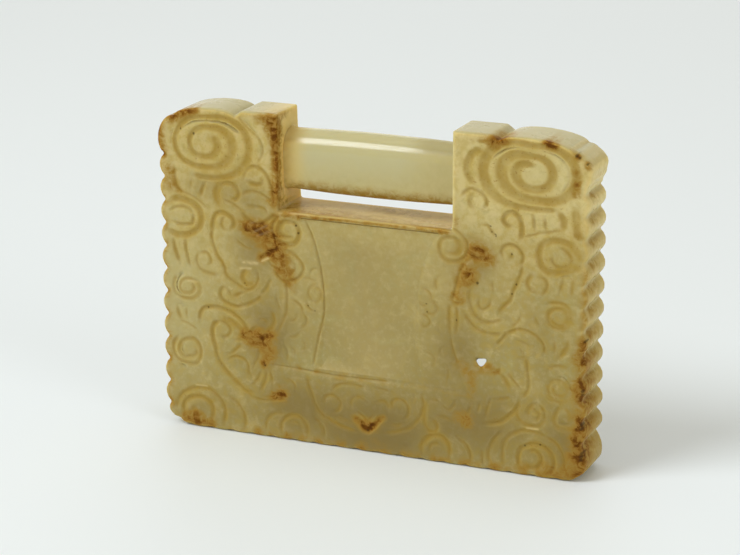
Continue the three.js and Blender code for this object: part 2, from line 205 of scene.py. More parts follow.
spirals = {
    "leftShoulder": {
        "centre": (8.0, 48.5), "turn": -1, "span": (0.5, 10.35), "depth": 0.46,
        "reach": (1.3, 2.3, 2.05, 2.75, 2.8, 4.95, 3.75, 5.4, 4.5, 7.9, 5.4, 6.2),
        "width": (0.6, 1.1, 0.7, 0.65, 0.7, 1.25, 0.75, 0.7, 0.65, 1.1, 0.6, 0.4),
    },
    "rightShoulder": {
        "centre": (63.7, 49.0), "turn": 1, "span": (0.0, 10.4), "depth": 0.48,
        "reach": (1.2, 2.9, 2.45, 3.0, 2.7, 5.3, 4.1, 6.7, 4.4, 8.2, 5.45, 8.5),
        "width": (0.6, 1.15, 0.9, 1.1, 0.75, 1.45, 0.95, 1.2, 0.8, 1.3, 0.65, 0.4),
    },
    "leftOfPanel": {
        "centre": (22.5, 35.7), "turn": -1, "span": (1.6, 7.7), "depth": 0.5,
        "reach": (1.4, 1.3, 1.1, 1.6, 1.5, 1.9, 2.4, 2.9, 2.6),
        "width": (0.5, 0.5, 0.5, 0.9, 0.5, 0.6, 0.7, 0.5, 0.4),
    },
    "rightOfPanel": {
        "centre": (50.2, 36.1), "turn": 1, "span": (1.6, 7.7), "depth": 0.36,
        "reach": (1.4, 1.3, 1.1, 1.6, 1.5, 1.9, 2.4, 2.9, 2.6),
        "width": (0.5, 0.5, 0.5, 0.8, 0.5, 0.6, 0.6, 0.5, 0.4),
    },
    "leftFaint": {
        "centre": (4.3, 24.1), "turn": -1, "span": (0.4, 7.6), "depth": 0.3,
        "reach": (0.7, 1.1, 0.9, 1.5, 1.6, 2.2, 1.9, 2.6, 2.8, 3.6),
        "width": (0.5, 0.6, 0.5, 0.5, 0.5, 0.6, 0.6, 0.5, 0.5, 0.5),
    },
    "leftLower": {
        "centre": (4.7, 13.3), "turn": -1, "span": (0.6, 7.5), "depth": 0.36,
        "reach": (0.7, 0.9, 0.9, 2.3, 2.1, 1.7, 2.3, 3.4, 3.1, 3.1, 3.5),
        "width": (0.5, 0.5, 0.5, 0.5, 0.6, 0.5, 0.5, 0.6, 0.6, 0.5, 0.5),
    },
    "rightLower": {
        "centre": (68.2, 15.0), "turn": 1, "span": (0.4, 7.4), "depth": 0.3,
        "reach": (0.6, 0.8, 0.9, 1.5, 1.6, 1.7, 1.9, 2.6, 2.9, 2.9, 3.2),
        "width": (0.5, 0.5, 0.5, 0.5, 0.5, 0.6, 0.6, 0.5, 0.5, 0.5, 0.5),
    },
    "rightMiddle": {
        "centre": (68.2, 26.6), "turn": 1, "span": (1.0, 8.6), "depth": 0.38,
        "reach": (1.1, 1.3, 1.2, 1.3, 1.6, 1.9, 1.6, 1.9, 2.5, 3.4, 2.6),
        "width": (0.4, 0.5, 0.5, 0.5, 0.5, 0.6, 0.5, 0.5, 0.5, 0.5, 0.5),
    },
}

# Single cuts: width and depth in mm, then the places that the tool went through

cuts = {
    "leftShoulder": (
        (0.4, 0.3, (14, 53.6), (15.1, 52.4), (16.3, 51.4), (17.6, 50.4), (18.2, 49), (18.1, 47.6),
         (17.3, 46.3)),
        (0.5, 0.45, (14.8, 43.7), (15.3, 45), (16.6, 45.7), (17.9, 45.3), (18.9, 44.4), (19.5, 43),
         (20.2, 41.2)),
        (0.55, 0.5, (15.4, 43.2), (16.2, 42.9), (17.2, 42.8), (18, 43.1), (18, 43.8)),
        (0.45, 0.35, (14.4, 40.8), (15.6, 41.5), (17, 41.6), (18.4, 41.1), (20, 40.1)),
        (0.45, 0.4, (15.2, 39.1), (16.3, 39.1), (17.5, 39.1), (18.4, 38.9), (18.9, 38.1)),
        (0.55, 0.5, (10.5, 41.4), (11, 42.2), (11.9, 42.6), (12.9, 42.3), (13.7, 41.5), (13.8, 40.5),
         (13.1, 39.9), (12.5, 40.2)),
        (1, 0.45, (10.4, 42.1), (9.9, 41), (9.9, 40), (10.3, 38.8)),
        (0.45, 0.35, (11.3, 39.8), (12.6, 39.2), (13.8, 38.6), (15.1, 37.9)),
        (0.55, 0.5, (7.9, 42.2), (7.3, 40.9), (7, 39.8)),
        (0.4, 0.28, (5.6, 43), (5.3, 41.7), (5.3, 40.6)),
        (0.6, 0.4, (2.3, 44.6), (2.4, 43.2), (2.6, 41.8), (3, 40.7), (3.9, 40.3)),
        (0.6, 0.35, (1.2, 53), (2.6, 53.6), (4.6, 54.3)),
        (0.45, 0.28, (4.1, 51.2), (3.2, 50.2), (2.6, 48.6)),
    ),
    "rightShoulder": (
        (0.9, 0.5, (55.3, 52), (54.1, 51.6), (53.3, 50.6), (52.9, 49.5), (52.9, 48.3), (53.3, 47.4),
         (53.9, 46.8)),
        (0.5, 0.4, (51.9, 44.4), (52.6, 45.2), (53.7, 45.7), (55, 45.3), (55.9, 44.5), (56.1, 43.5),
         (55.4, 42.8)),
        (0.65, 0.42, (53.9, 44.9), (53.4, 44), (53.5, 43.1), (54.2, 42.5)),
        (0.62, 0.55, (60.3, 40.3), (59.3, 40.6), (58.9, 41.4), (59.4, 42.3), (60.4, 42.7), (61.3, 42.1),
         (61.8, 41), (61.9, 39.8), (61.6, 38.4)),
        (0.5, 0.42, (63.6, 42.7), (63.8, 41.5), (63.9, 40.2)),
        (0.5, 0.42, (65.4, 42.4), (65.6, 41.4), (65.7, 40.5)),
        (0.85, 0.45, (67.7, 43.3), (68.4, 42.5), (68.6, 41.6), (68.2, 40.8)),
        (0.4, 0.32, (68.2, 40.7), (66.6, 40.2), (65, 39.9), (63.5, 39.4), (62.1, 39)),
        (0.9, 0.5, (70.3, 44.2), (70.5, 43), (70.6, 41.6), (70.8, 40.2), (71.5, 39.3)),
        (0.45, 0.35, (55.3, 40.2), (56.4, 40.2), (56.9, 39.4), (57.8, 38.5)),
        (0.6, 0.4, (70.1, 54.2), (69.9, 53.2), (70.4, 52.3), (71.2, 52.1)),
        (0.6, 0.4, (56.6, 52.4), (57.2, 53.3), (58.4, 54.2)),
        (0.45, 0.28, (72, 51), (71.9, 49.8), (72.1, 48.6)),
    ),
    "leftUpper": (
        (0.5, 0.42, (5.5, 36.8), (5.6, 35.9), (5.3, 35.1), (4.3, 34.85), (3, 34.8), (1.9, 35.2)),
        (0.45, 0.35, (1.2, 36.9), (2.3, 37.5), (3.6, 37.8), (4.8, 37.5), (5.6, 36.8)),
        (0.85, 0.48, (1, 33.5), (2.6, 33), (4.2, 33.1), (5.6, 33.7), (6.7, 34.7), (7.1, 35.9), (6.9, 37.2),
         (6, 38.2), (4.8, 38.8), (3.2, 39.1), (1.6, 38.8)),
        (0.35, 0.28, (3.2, 40.4), (5, 39.9), (6.6, 39.2), (8.3, 37.9)),
        (0.6, 0.45, (1.9, 32.3), (2, 31), (2.3, 30), (2.9, 28.3)),
        (0.52, 0.45, (4.15, 32.4), (4.05, 31), (4.3, 29.8), (4.8, 27.9)),
        (0.45, 0.4, (6.5, 30.2), (7.2, 30.5), (8, 30.4), (8.5, 29.6), (8.5, 28.8), (8, 28.3)),
        (0.5, 0.35, (6.4, 30.3), (6, 29.2), (6.2, 28.2), (6.9, 27.4), (8.2, 27), (9.8, 26.9)),
        (0.6, 0.52, (12.3, 34.9), (12.9, 35.6), (12.8, 36.5), (12.1, 37.1), (11, 37.5), (10, 37.3),
         (9.4, 36.6), (9.1, 35.5), (9, 34.2)),
        (0.5, 0.38, (11.4, 36.9), (10.8, 36.1), (10.8, 35.2), (11.5, 34.6)),
        (0.55, 0.42, (9, 34.4), (8.8, 33.2), (9.1, 32.1), (9.5, 31), (10, 29.9), (10.6, 29.2), (11.1, 28.3),
         (11.2, 27.4), (11.7, 26.7), (12.7, 26.1), (13.7, 25.5), (14.6, 25)),
        (0.7, 0.45, (15.3, 28.4), (14.5, 27.7), (14.3, 26.8), (14.8, 26.1), (15.6, 25.9), (16.3, 26.3)),
        (0.45, 0.42, (16.9, 28.3), (17.1, 27.2), (16.8, 26.2), (16, 25.3), (15, 24.9), (14.2, 25.1)),
        (0.5, 0.42, (19.3, 27.4), (18.9, 26.3), (18.4, 25.4), (17.5, 24.4)),
        (0.52, 0.45, (11.5, 24.8), (10.8, 24.9), (10.3, 24.3), (10.2, 23.4), (10.7, 22.7), (11.7, 22.2),
         (13, 21.9), (14.3, 22.2), (15.5, 22.7), (16.9, 23.5), (17.6, 24.3)),
        (0.45, 0.4, (11.3, 24.8), (11.7, 24.4), (12.3, 23.6)),
        (0.55, 0.45, (12.5, 23.6), (13.5, 24), (14.4, 24.6)),
        (0.55, 0.5, (14.2, 38), (14.6, 37.6), (15.3, 36.9), (16.3, 36.3), (17.6, 36.3), (18.6, 36.8),
         (20.1, 38.1)),
        (0.5, 0.45, (14.2, 35.3), (15, 34.9), (16.4, 34.7), (17.9, 34.6), (19.4, 34.2)),
        (0.4, 0.35, (15.2, 34.5), (17, 35.3), (18.4, 36), (19.5, 36.7)),
        (0.6, 0.55, (17.2, 30.4), (18.4, 31.2), (19.4, 31.9), (20.7, 32.6)),
        (0.45, 0.35, (13.2, 33.4), (14.1, 32.6), (15.1, 32.1), (16.3, 31.9)),
        (0.4, 0.3, (18.9, 30.6), (19.4, 29.7), (20.2, 29.3), (21.2, 29)),
        (0.45, 0.35, (19.2, 33.4), (19.8, 33.2), (20.6, 33.1)),
    ),
    "leftOfPanel": (
        (0.5, 0.42, (22.2, 32.4), (23.3, 31.9), (24.2, 31.1), (24.9, 30.2), (25, 29.3), (24.5, 28.3),
         (23.6, 27.6), (22.3, 27.2)),
        (0.45, 0.3, (21.4, 31.4), (22.6, 31), (23.4, 30.3), (23.5, 29.4), (22.9, 28.6)),
        (0.45, 0.35, (22.3, 27.1), (21.2, 27.4), (20.4, 28.2), (19.9, 28.8)),
        (0.45, 0.3, (21.9, 27.2), (22.1, 25.8), (22.1, 24), (22, 22.4), (21.7, 21.2), (21.1, 19.8),
         (20.4, 18.4)),
        (0.4, 0.28, (20.3, 25.4), (20.3, 24.2), (20.6, 23), (21.2, 22.2)),
        (0.4, 0.3, (26.2, 28.4), (26.3, 29.2), (26.9, 29.8), (27.8, 29.9)),
        (0.4, 0.28, (25.2, 28), (25.9, 28.2), (26.8, 27.9), (27.5, 28)),
        (0.45, 0.3, (27.2, 27.2), (26.3, 26.6), (25.9, 25.6), (26.4, 24.7), (27.3, 24.4), (28, 25.1),
         (28, 26.2), (27.3, 26.6), (26.9, 25.9)),
        (0.4, 0.32, (25.6, 24.2), (25.8, 23.4), (26.4, 22.9), (27.2, 22.8)),
        (0.45, 0.36, (22.9, 24.3), (24, 23.8), (24.7, 23), (24.9, 22)),
        (0.45, 0.36, (25.1, 22.1), (25.5, 21.2), (25.2, 20.2), (24.4, 19.6)),
        (0.4, 0.3, (24, 22), (23.6, 21.1), (22.9, 20.6), (22.2, 20.7)),
        (0.4, 0.28, (22.3, 18.3), (23.1, 17.9), (23.9, 18.3), (24.4, 19)),
        (0.4, 0.28, (24.6, 17.6), (25.2, 16.9), (25, 16.1), (24.2, 15.8)),
        (0.4, 0.26, (21.3, 16.6), (21.9, 15.6), (22, 14.4), (21.9, 13.4)),
        (0.4, 0.26, (22.6, 16.4), (23.4, 15.6), (23.2, 14.6)),
    ),
    "rightOfPanel": (
        (0.45, 0.34, (50.4, 39.2), (51.6, 38.6), (52.6, 37.8)),
        (0.5, 0.3, (48.6, 31.1), (47.9, 30.5), (47.7, 29.6), (48.1, 28.7)),
        (0.45, 0.28, (45.3, 28.9), (46.4, 28.5), (47, 27.7), (46.9, 26.8)),
        (0.45, 0.28, (44.9, 26.6), (45.6, 26), (46.4, 26.3)),
        (0.5, 0.28, (46.6, 27), (47.6, 26.6), (48, 25.6), (47.4, 24.8), (46.5, 24.9), (46.2, 25.7)),
        (0.4, 0.28, (45, 24.4), (46, 24.4), (46.8, 23.7), (46.6, 22.8), (45.7, 22.5), (45.2, 23.2)),
        (0.4, 0.25, (48.6, 23.6), (48.2, 22.7), (48.6, 21.8)),
        (0.45, 0.28, (46, 18.4), (46.9, 18.2), (47.6, 17.4), (47.4, 16.4), (46.6, 16)),
        (0.4, 0.25, (49.3, 19.8), (48.6, 18.8), (48.9, 17.8)),
        (0.4, 0.25, (49.8, 16.4), (49.9, 15), (49.6, 13.6)),
        (0.55, 0.4, (50.15, 26.8), (50.05, 25.2), (50.1, 23.6), (50.15, 21.8)),
        (0.5, 0.38, (51.3, 26.6), (51.4, 25), (51.4, 23.4), (51.2, 22)),
        (0.4, 0.3, (50.3, 21.6), (50.5, 20.2), (51, 18.6), (51.7, 17)),
        (0.5, 0.36, (50.4, 27.2), (50.9, 28.8), (51.3, 30.4), (51.8, 32), (52.6, 33.9)),
        (0.5, 0.4, (52.2, 27.3), (51.4, 27.1), (50.6, 26.7)),
    ),
    "rightUpper": (
        (0.5, 0.42, (67.9, 38), (68.9, 37.5), (69.6, 36.9), (69.9, 36.1), (69.6, 35.2), (68.7, 34.8),
         (67.6, 34.8), (66.9, 35.4), (66.9, 36.4)),
        (0.85, 0.42, (71.6, 35.3), (70.2, 34.7), (68.5, 34.1), (66.8, 33.8), (65.4, 34.3), (64.8, 35.5),
         (64.7, 36.8), (65.2, 38), (66.3, 38.7), (67.8, 38.9), (69.4, 38.6), (70.6, 37.7), (71.2, 36.3)),
        (0.5, 0.42, (64.9, 32.9), (65.8, 32.5), (66.1, 31.6), (65.8, 30.7), (65, 30)),
        (0.6, 0.38, (63.7, 33.1), (63, 32.2), (63, 31.2), (63.6, 30.6), (64.6, 30.4)),
        (0.45, 0.38, (68.7, 33), (68.4, 31.8), (68, 30.3)),
        (0.45, 0.38, (70.4, 33.4), (70.1, 32), (70, 30.2)),
        (0.5, 0.42, (62, 34.4), (61.9, 33.3), (61.5, 32.2), (61.1, 31.1), (60.6, 30.2), (60.4, 29.3),
         (60.1, 28.5), (59.4, 27.8), (58.7, 27), (58.3, 26.1)),
        (0.5, 0.45, (61.6, 34.4), (62.1, 35.2), (62, 36.2), (61.3, 37.1), (60.2, 37.5), (59.1, 37.1),
         (58.6, 36.2), (58.9, 35.3)),
        (0.5, 0.42, (60.2, 36.3), (60.3, 35.6), (59.9, 35)),
        (0.4, 0.35, (57.1, 31.4), (57.2, 30.5), (57.4, 29.5)),
        (0.55, 0.38, (53.6, 29.8), (53.4, 28.2), (53.8, 26.5), (54.7, 25.2), (56, 24.6), (57.5, 24.7),
         (58.8, 25.3)),
        (0.55, 0.36, (52.6, 25.6), (53.7, 24.1), (55.2, 23.1), (57, 22.7), (58.8, 23)),
        (0.45, 0.36, (57, 28.3), (56.7, 27.3), (55.7, 26.6), (55, 27.2), (55.1, 28.3)),
        (0.45, 0.4, (57.8, 20.9), (58.8, 22), (59.7, 23.1), (60.9, 23.8), (62.2, 24.1), (63.6, 23.8),
         (64.8, 23.1), (65.6, 22.2), (65.9, 21.2), (65.7, 20.5)),
        (0.4, 0.3, (61.9, 27), (61.8, 26), (61.2, 25), (60.2, 24.2)),
        (0.4, 0.3, (64.2, 26.6), (64.5, 25.7), (65.2, 24.9)),
        (0.42, 0.34, (67.3, 23.4), (67.5, 22.2), (67.4, 20.8)),
        (0.58, 0.5, (69.7, 23.2), (69.5, 22.2), (69, 21.2), (68.2, 20.2)),
        (0.45, 0.34, (53.3, 35.4), (54.2, 34.9), (55.3, 34.7), (56.8, 34.9)),
        (0.45, 0.36, (52.2, 31.3), (53, 31.7), (54.2, 32.2)),
        (0.5, 0.45, (54.4, 30.2), (54.7, 30.7), (54.5, 31.3)),
        (0.45, 0.34, (54, 36.6), (55.2, 36.2), (56.2, 35.6)),
        (0.4, 0.3, (52.9, 29.8), (53.9, 30.6), (55.4, 31.2)),
        (0.4, 0.3, (61.4, 22.3), (62.5, 22), (63.8, 21.6)),
    ),
    "leftWing": (
        (0.55, 0.5, (6.4, 18.6), (6.4, 19.7), (7, 20.8), (8, 21.2), (9.5, 21.4), (11, 21.15), (12.4, 20.7),
         (13.6, 19.9), (14.6, 18.8), (15.1, 18)),
        (0.8, 0.4, (10.6, 19.5), (11.8, 19.4), (13, 18.7), (14, 17.7)),
        (0.62, 0.52, (10, 19), (9.2, 18.6), (8.7, 17.8), (8.6, 16.8), (8.7, 15.8), (9.1, 14.6), (9.3, 13.3),
         (9.7, 12.2), (10.5, 11.1), (11.3, 10.2), (12.2, 9.4), (13.3, 8.5), (14.4, 7.7), (15.9, 7.2)),
        (0.48, 0.4, (9.9, 19), (10.9, 18.9), (11.7, 18.3), (11.9, 17.5), (11.5, 16.8), (10.8, 16.4),
         (10, 16.6)),
        (0.75, 0.5, (13.3, 17.1), (14, 16.9), (14.7, 16.5)),
        (0.6, 0.48, (14.9, 17.5), (15.8, 18.1), (16.7, 18.8)),
        (0.6, 0.48, (17.2, 16.3), (17.9, 17.2), (18.6, 17.7), (19.4, 17.6)),
        (0.45, 0.38, (10.9, 13.5), (12.1, 13.8), (13, 14.7), (13.9, 15.6)),
        (0.45, 0.38, (11.2, 12.5), (12.3, 13.2), (13.4, 13.3), (14.4, 12.9), (15, 11.9), (15.1, 10.9),
         (15.7, 10.1)),
        (0.45, 0.38, (17.3, 11.2), (16.8, 10.1), (15.9, 9.1)),
        (0.52, 0.42, (18.3, 11.4), (18.1, 10), (17.6, 8.9), (17.1, 7.9)),
        (0.42, 0.36, (18.9, 11.6), (19.2, 10.3), (19.2, 8.9)),
        (0.6, 0.45, (17.6, 13), (17.9, 12.5), (18.2, 11.9)),
        (0.42, 0.34, (17, 15.2), (16.9, 13.9), (16.3, 12.7), (15.8, 11.6)),
        (0.45, 0.36, (17.7, 6.9), (18.4, 7), (19.2, 7.1)),
        (0.42, 0.32, (14.4, 7.3), (16, 6.6), (18, 6.4), (19.9, 6.9), (21.6, 7.2)),
        (0.45, 0.36, (12.4, 16.1), (13.4, 16.3), (14.4, 16)),
        (0.4, 0.3, (2.4, 18.2), (3.6, 18.1), (4.9, 17.6), (6.1, 17)),
        (0.55, 0.42, (2.3, 20.9), (2.4, 19.8), (2.9, 18.5)),
        (0.42, 0.32, (4, 20.8), (3.9, 19.8), (4.1, 19)),
        (0.6, 0.35, (19.2, 22), (19.7, 21), (19.7, 19.9), (19.2, 18.9), (18.2, 18.4)),
        (0.45, 0.32, (16.9, 19.9), (17.7, 20.3), (18.4, 20), (18.5, 19.3)),
    ),
    "rightWing": (
        (0.5, 0.36, (63, 20), (62.4, 19.6), (61.6, 19.3)),
        (0.5, 0.42, (62.9, 19.6), (63.1, 18.2), (63.2, 16.9), (63.4, 15.6), (63.3, 14.5), (62.8, 13.6),
         (62.2, 12.9)),
        (0.6, 0.5, (61.9, 12.3), (61.6, 11.3), (61.1, 10.5), (60.4, 9.8), (59.7, 9.1), (58.9, 8.5),
         (57.8, 8.1), (56.2, 7.9)),
        (0.65, 0.42, (58.8, 16.3), (59.6, 15.3), (60.3, 14)),
        (0.42, 0.34, (59.8, 16.8), (61, 15.4), (62.1, 14.4)),
        (0.5, 0.42, (57.8, 16.5), (58.4, 16.8), (58.6, 17.4)),
        (0.42, 0.34, (57.9, 12.1), (59.2, 12.3), (60.4, 12.8)),
        (0.45, 0.34, (57.2, 12), (56.8, 11), (56.5, 9.9), (56.3, 8.9)),
        (0.42, 0.32, (55.4, 11.4), (55.2, 10.3), (54.8, 9.3)),
        (0.42, 0.3, (53.9, 11), (53.7, 9.9), (53.2, 9)),
        (0.55, 0.42, (64.6, 12.2), (63.8, 11.6), (63.3, 10.8), (63.4, 9.9)),
        (0.45, 0.36, (63.5, 11.3), (64.4, 11.3), (65.1, 10.6), (64.8, 9.8), (64.1, 9.7)),
        (0.55, 0.36, (62, 12.1), (61.5, 10.7), (61.8, 9.3), (62.9, 8.6), (64.3, 8.4), (65.5, 8.9), (66, 10),
         (65.9, 11.2), (65.2, 12.1)),
        (0.5, 0.45, (69.1, 12.2), (69.9, 11.6), (70.1, 10.8), (69.8, 9.9)),
        (0.6, 0.38, (68.6, 12.3), (68, 11.3), (67.7, 10.2), (67.9, 9.2), (69, 8.8), (70.4, 8.9),
         (71.6, 9.2)),
        (0.4, 0.28, (66, 14), (66.6, 13.4), (67.6, 13), (69, 12.9)),
        (0.45, 0.34, (66.3, 17.8), (67, 18.6), (68.4, 18.9), (69.8, 18.6)),
        (0.4, 0.3, (62, 21), (62.5, 20.2), (62.4, 19.5)),
    ),
    "bottomLeft": (
        (0.55, 0.42, (5.4, 3.65), (4.7, 3.2), (4.1, 2.7)),
        (0.62, 0.48, (3, 2.2), (2.9, 3.3), (3.4, 4.4), (4.6, 5.2), (6.1, 5.4), (7.5, 5), (8.3, 4.1),
         (8.4, 2.9), (8, 1.6)),
        (0.6, 0.4, (1.5, 3), (1.9, 4.3), (2.8, 5.6), (4.2, 6.5), (5.9, 7), (7.6, 7), (9, 6.3), (10.1, 5.2),
         (10.6, 4), (10.6, 2.6), (10.2, 1.2)),
        (0.55, 0.4, (11.5, 6.3), (12.8, 5.3), (13.6, 4.3), (14.2, 3.2), (14.3, 2), (14.1, 1)),
        (0.55, 0.42, (20.9, 1.2), (20.8, 2.4), (21.3, 3.5), (22.4, 4.3), (23.8, 4.5), (24.9, 3.8),
         (25.5, 2.7), (25.4, 1.2)),
        (0.45, 0.36, (22.4, 3.2), (23.2, 3.4), (23.9, 3.1), (24, 2.5)),
        (0.48, 0.36, (18, 1.3), (18.1, 2.6), (18.7, 3.6), (19.9, 4.4), (21.5, 4.7)),
        (0.5, 0.4, (26.8, 4.7), (27.8, 3.8), (28.4, 2.7), (28.5, 1.3)),
        (0.42, 0.34, (21.9, 10.8), (22.8, 10.4), (23.4, 9.7), (23.3, 8.8)),
        (0.42, 0.34, (19.3, 7.3), (20.1, 7.9), (21, 8), (22, 7.4)),
    ),
    "bottomMiddle": (
        (0.55, 0.36, (25.5, 11.4), (25.9, 10), (26.2, 9), (26.6, 8), (26.9, 7), (27.5, 6), (28.4, 5.2),
         (29.6, 4.7), (31, 4), (32.6, 3.6), (34.2, 3.4)),
        (0.5, 0.32, (45.3, 11.3), (45.8, 10), (45.8, 8.6), (45.2, 7.2), (44.4, 6.2), (43.4, 5.2),
         (42.2, 4.6), (40.7, 4.1), (39, 3.8)),
        (0.45, 0.34, (29.9, 9.6), (30.5, 10.5), (31.7, 11.1), (33.6, 11.3), (35.6, 10.9)),
        (0.5, 0.34, (28.4, 7), (28.6, 8.2), (29.5, 8.9), (30.7, 8.7), (31.4, 7.8), (31.2, 6.7),
         (30.2, 6.1)),
        (0.45, 0.34, (33.3, 7.2), (33.3, 8.4), (34, 9.2), (35, 9.2), (36, 8.8)),
        (0.45, 0.32, (37.6, 8.9), (38.7, 9.2), (39.6, 8.7), (39.8, 7.6)),
        (0.45, 0.34, (42.6, 6.6), (43.3, 7.6), (43.2, 8.8), (42.4, 9.7), (41.2, 9.8), (40.4, 9),
         (40.6, 7.9)),
        (0.4, 0.3, (37.4, 11.4), (39.2, 11.1), (40.4, 10.9)),
        (0.75, 0.5, (33.5, 5.8), (34.6, 5.3), (35.3, 4.6), (36, 3.6), (36.8, 4.4), (37.6, 5.2), (38.2, 6),
         (39.1, 6.3)),
        (0.45, 0.32, (34.2, 6.6), (35.4, 6), (36.2, 5.4), (37, 6.4)),
        (0.4, 0.28, (44, 9.2), (44.4, 10), (44.2, 10.9)),
        (0.42, 0.28, (30.4, 5.3), (32, 5), (33.2, 5)),
        (0.42, 0.28, (39.9, 5.4), (41.2, 5.3), (42.4, 5.9)),
    ),
    "bottomRight": (
        (0.52, 0.36, (46.4, 10), (46.1, 8.7), (46, 7.2), (46.2, 6), (46.9, 5.2), (47.8, 5.2), (48.2, 6),
         (47.9, 6.9), (47.2, 7.3)),
        (0.42, 0.3, (46.9, 10.4), (47.9, 10.7), (48.8, 10.2)),
        (0.4, 0.28, (51.3, 11), (50.9, 9.9), (50, 9.2), (49.3, 9.7)),
        (0.42, 0.3, (47.8, 8), (49.4, 7.9), (50.8, 7.6)),
        (0.6, 0.46, (45.4, 1.3), (45.5, 2.6), (46.3, 3.8), (47.6, 4.6), (49, 4.5), (49.9, 3.8), (50.3, 2.7),
         (50.2, 1.3)),
        (0.48, 0.36, (46.9, 1.6), (47.1, 2.7), (47.9, 3.3), (48.7, 3.1)),
        (0.5, 0.42, (51.6, 4.9), (52.8, 4), (53.5, 3.1), (53.9, 2.1), (53.8, 1.1)),
        (0.5, 0.34, (55.8, 3.1), (55.8, 2), (55.9, 1)),
        (0.58, 0.46, (63.6, 4.2), (64.4, 4.5), (65.2, 4.1), (65.7, 3.3), (65.6, 2.4), (64.9, 1.7),
         (63.8, 1.6), (62.9, 2.3)),
        (0.58, 0.5, (62, 1.6), (61.8, 2.8), (62.1, 4.2), (62.9, 5), (64.1, 5.5), (65.4, 5.5), (66.5, 5.1),
         (67.3, 4.3), (67.7, 3.3), (67.7, 2.2), (67.2, 1.2)),
        (0.5, 0.4, (66.4, 7.1), (67.7, 6.4), (68.6, 5.5), (69.2, 4.4), (69.5, 3), (69.2, 1.8)),
        (0.55, 0.36, (59.4, 1.4), (59.2, 3), (59.3, 4.4), (59.9, 5.8), (61.2, 7), (62.9, 7.6), (64.8, 7.6),
         (66.4, 7.1)),
        (0.5, 0.34, (57, 1.3), (56.9, 2.8), (57.2, 4.2), (57.9, 5.5), (59, 6.7)),
        (0.5, 0.38, (69.8, 7.6), (71, 6.9), (71.8, 5.7), (72.1, 4.4)),
    ),
    "panel": (
        (0.3, 0.42, (25.4, 37.6), (25.9, 36.7), (26.5, 35.5), (27, 34.1), (27.4, 32.8), (27.9, 30.7),
         (28.2, 29), (28.5, 27), (28.6, 24.8), (28.6, 22.8), (28.3, 21.2), (27.9, 19.6), (27.4, 17.4),
         (26.9, 15.2), (26.6, 13.6)),
        (0.26, 0.1, (47.5, 37.4), (46.9, 36), (46.2, 34.2), (45.6, 32.6), (45.1, 30.8), (44.7, 28.6),
         (44.6, 25.4), (44.6, 22.4), (44.8, 19), (45.1, 16), (45.4, 13.6)),
        (0.3, 0.34, (19.2, 12.7), (21, 12.7), (24, 12.6), (28, 12.4), (32, 12.3), (36, 12.4), (40, 12.5)),
        (0.26, 0.1, (40, 12.5), (44, 12.5), (48, 12.5), (53, 12.5)),
        (0.3, 0.2, (24, 38.3), (28, 38.35), (33, 38.4), (38, 38.4), (43, 38.3), (48, 38.2)),
    ),
}

# Ground lowered between the motifs: place, reach and depth

hollows = (
    (16.5, 33.2, 3, 0.16), (12.2, 31.5, 1.8, 0.1), (13.2, 12, 1.6, 0.16), (16.6, 15.2, 1.8, 0.16),
    (19.5, 47.8, 1.6, 0.16), (19.4, 20, 1.6, 0.12), (56.5, 33, 2.6, 0.14), (57.6, 19, 2, 0.14),
    (58.5, 14, 2.2, 0.14), (36.2, 7.4, 1.6, 0.1), (15.6, 1.9, 1, 0.14), (43.6, 2.2, 1.2, 0.12),
    (31.5, 1.6, 1.6, 0.12), (9.4, 8.8, 1.6, 0.1), (66, 28.6, 1.2, 0.1), (52.5, 41.6, 1.2, 0.1),
    (7.4, 24.4, 1, 0.08), (2.2, 8.6, 1.4, 0.1), (66.8, 9, 1, 0.08), (51.4, 6.2, 1.3, 0.1),
)


def smoothStep(low, high, value):
    share = np.clip((value - low) / (high - low), 0, 1)
    return share * share * (3 - 2 * share)


def throughPoints(rows, spacing):
    # a smooth curve through rows of x, z and whatever else changes along the cut
    rows = np.array(rows, float)
    ends = np.vstack([2 * rows[0] - rows[1], rows, 2 * rows[-1] - rows[-2]])
    stretches = []
    for a, b, c, d in zip(ends, ends[1:], ends[2:], ends[3:]):
        count = max(2, int(np.hypot(*(c - b)[:2]) / spacing))
        t = np.linspace(0, 1, count, endpoint=False)[:, None]
        stretches.append(0.5 * (2 * b + (c - a) * t + (2 * a - 5 * b + 4 * c - d) * t ** 2
                                + (3 * b - a - 3 * c + d) * t ** 3))
    return np.vstack([*stretches, rows[-1:]])


def spiralRows(spiral):
    quarters = np.arange(len(spiral["reach"]))
    along = np.arange(*spiral["span"], carving["spiralStep"])
    whole = along.astype(int)
    ease = (1 - np.cos((along - whole) * math.pi)) / 2
    reach, width = (np.array(spiral[key]) for key in ("reach", "width"))
    following = np.minimum(whole + 1, quarters[-1])
    far = reach[whole] + (reach[following] - reach[whole]) * ease
    wide = width[whole] + (width[following] - width[whole]) * ease
    angle = math.pi / 2 * (1 + spiral["turn"] * along)
    centre = spiral["centre"]
    return np.column_stack([centre[0] + far * np.cos(angle), centre[1] + far * np.sin(angle), wide])


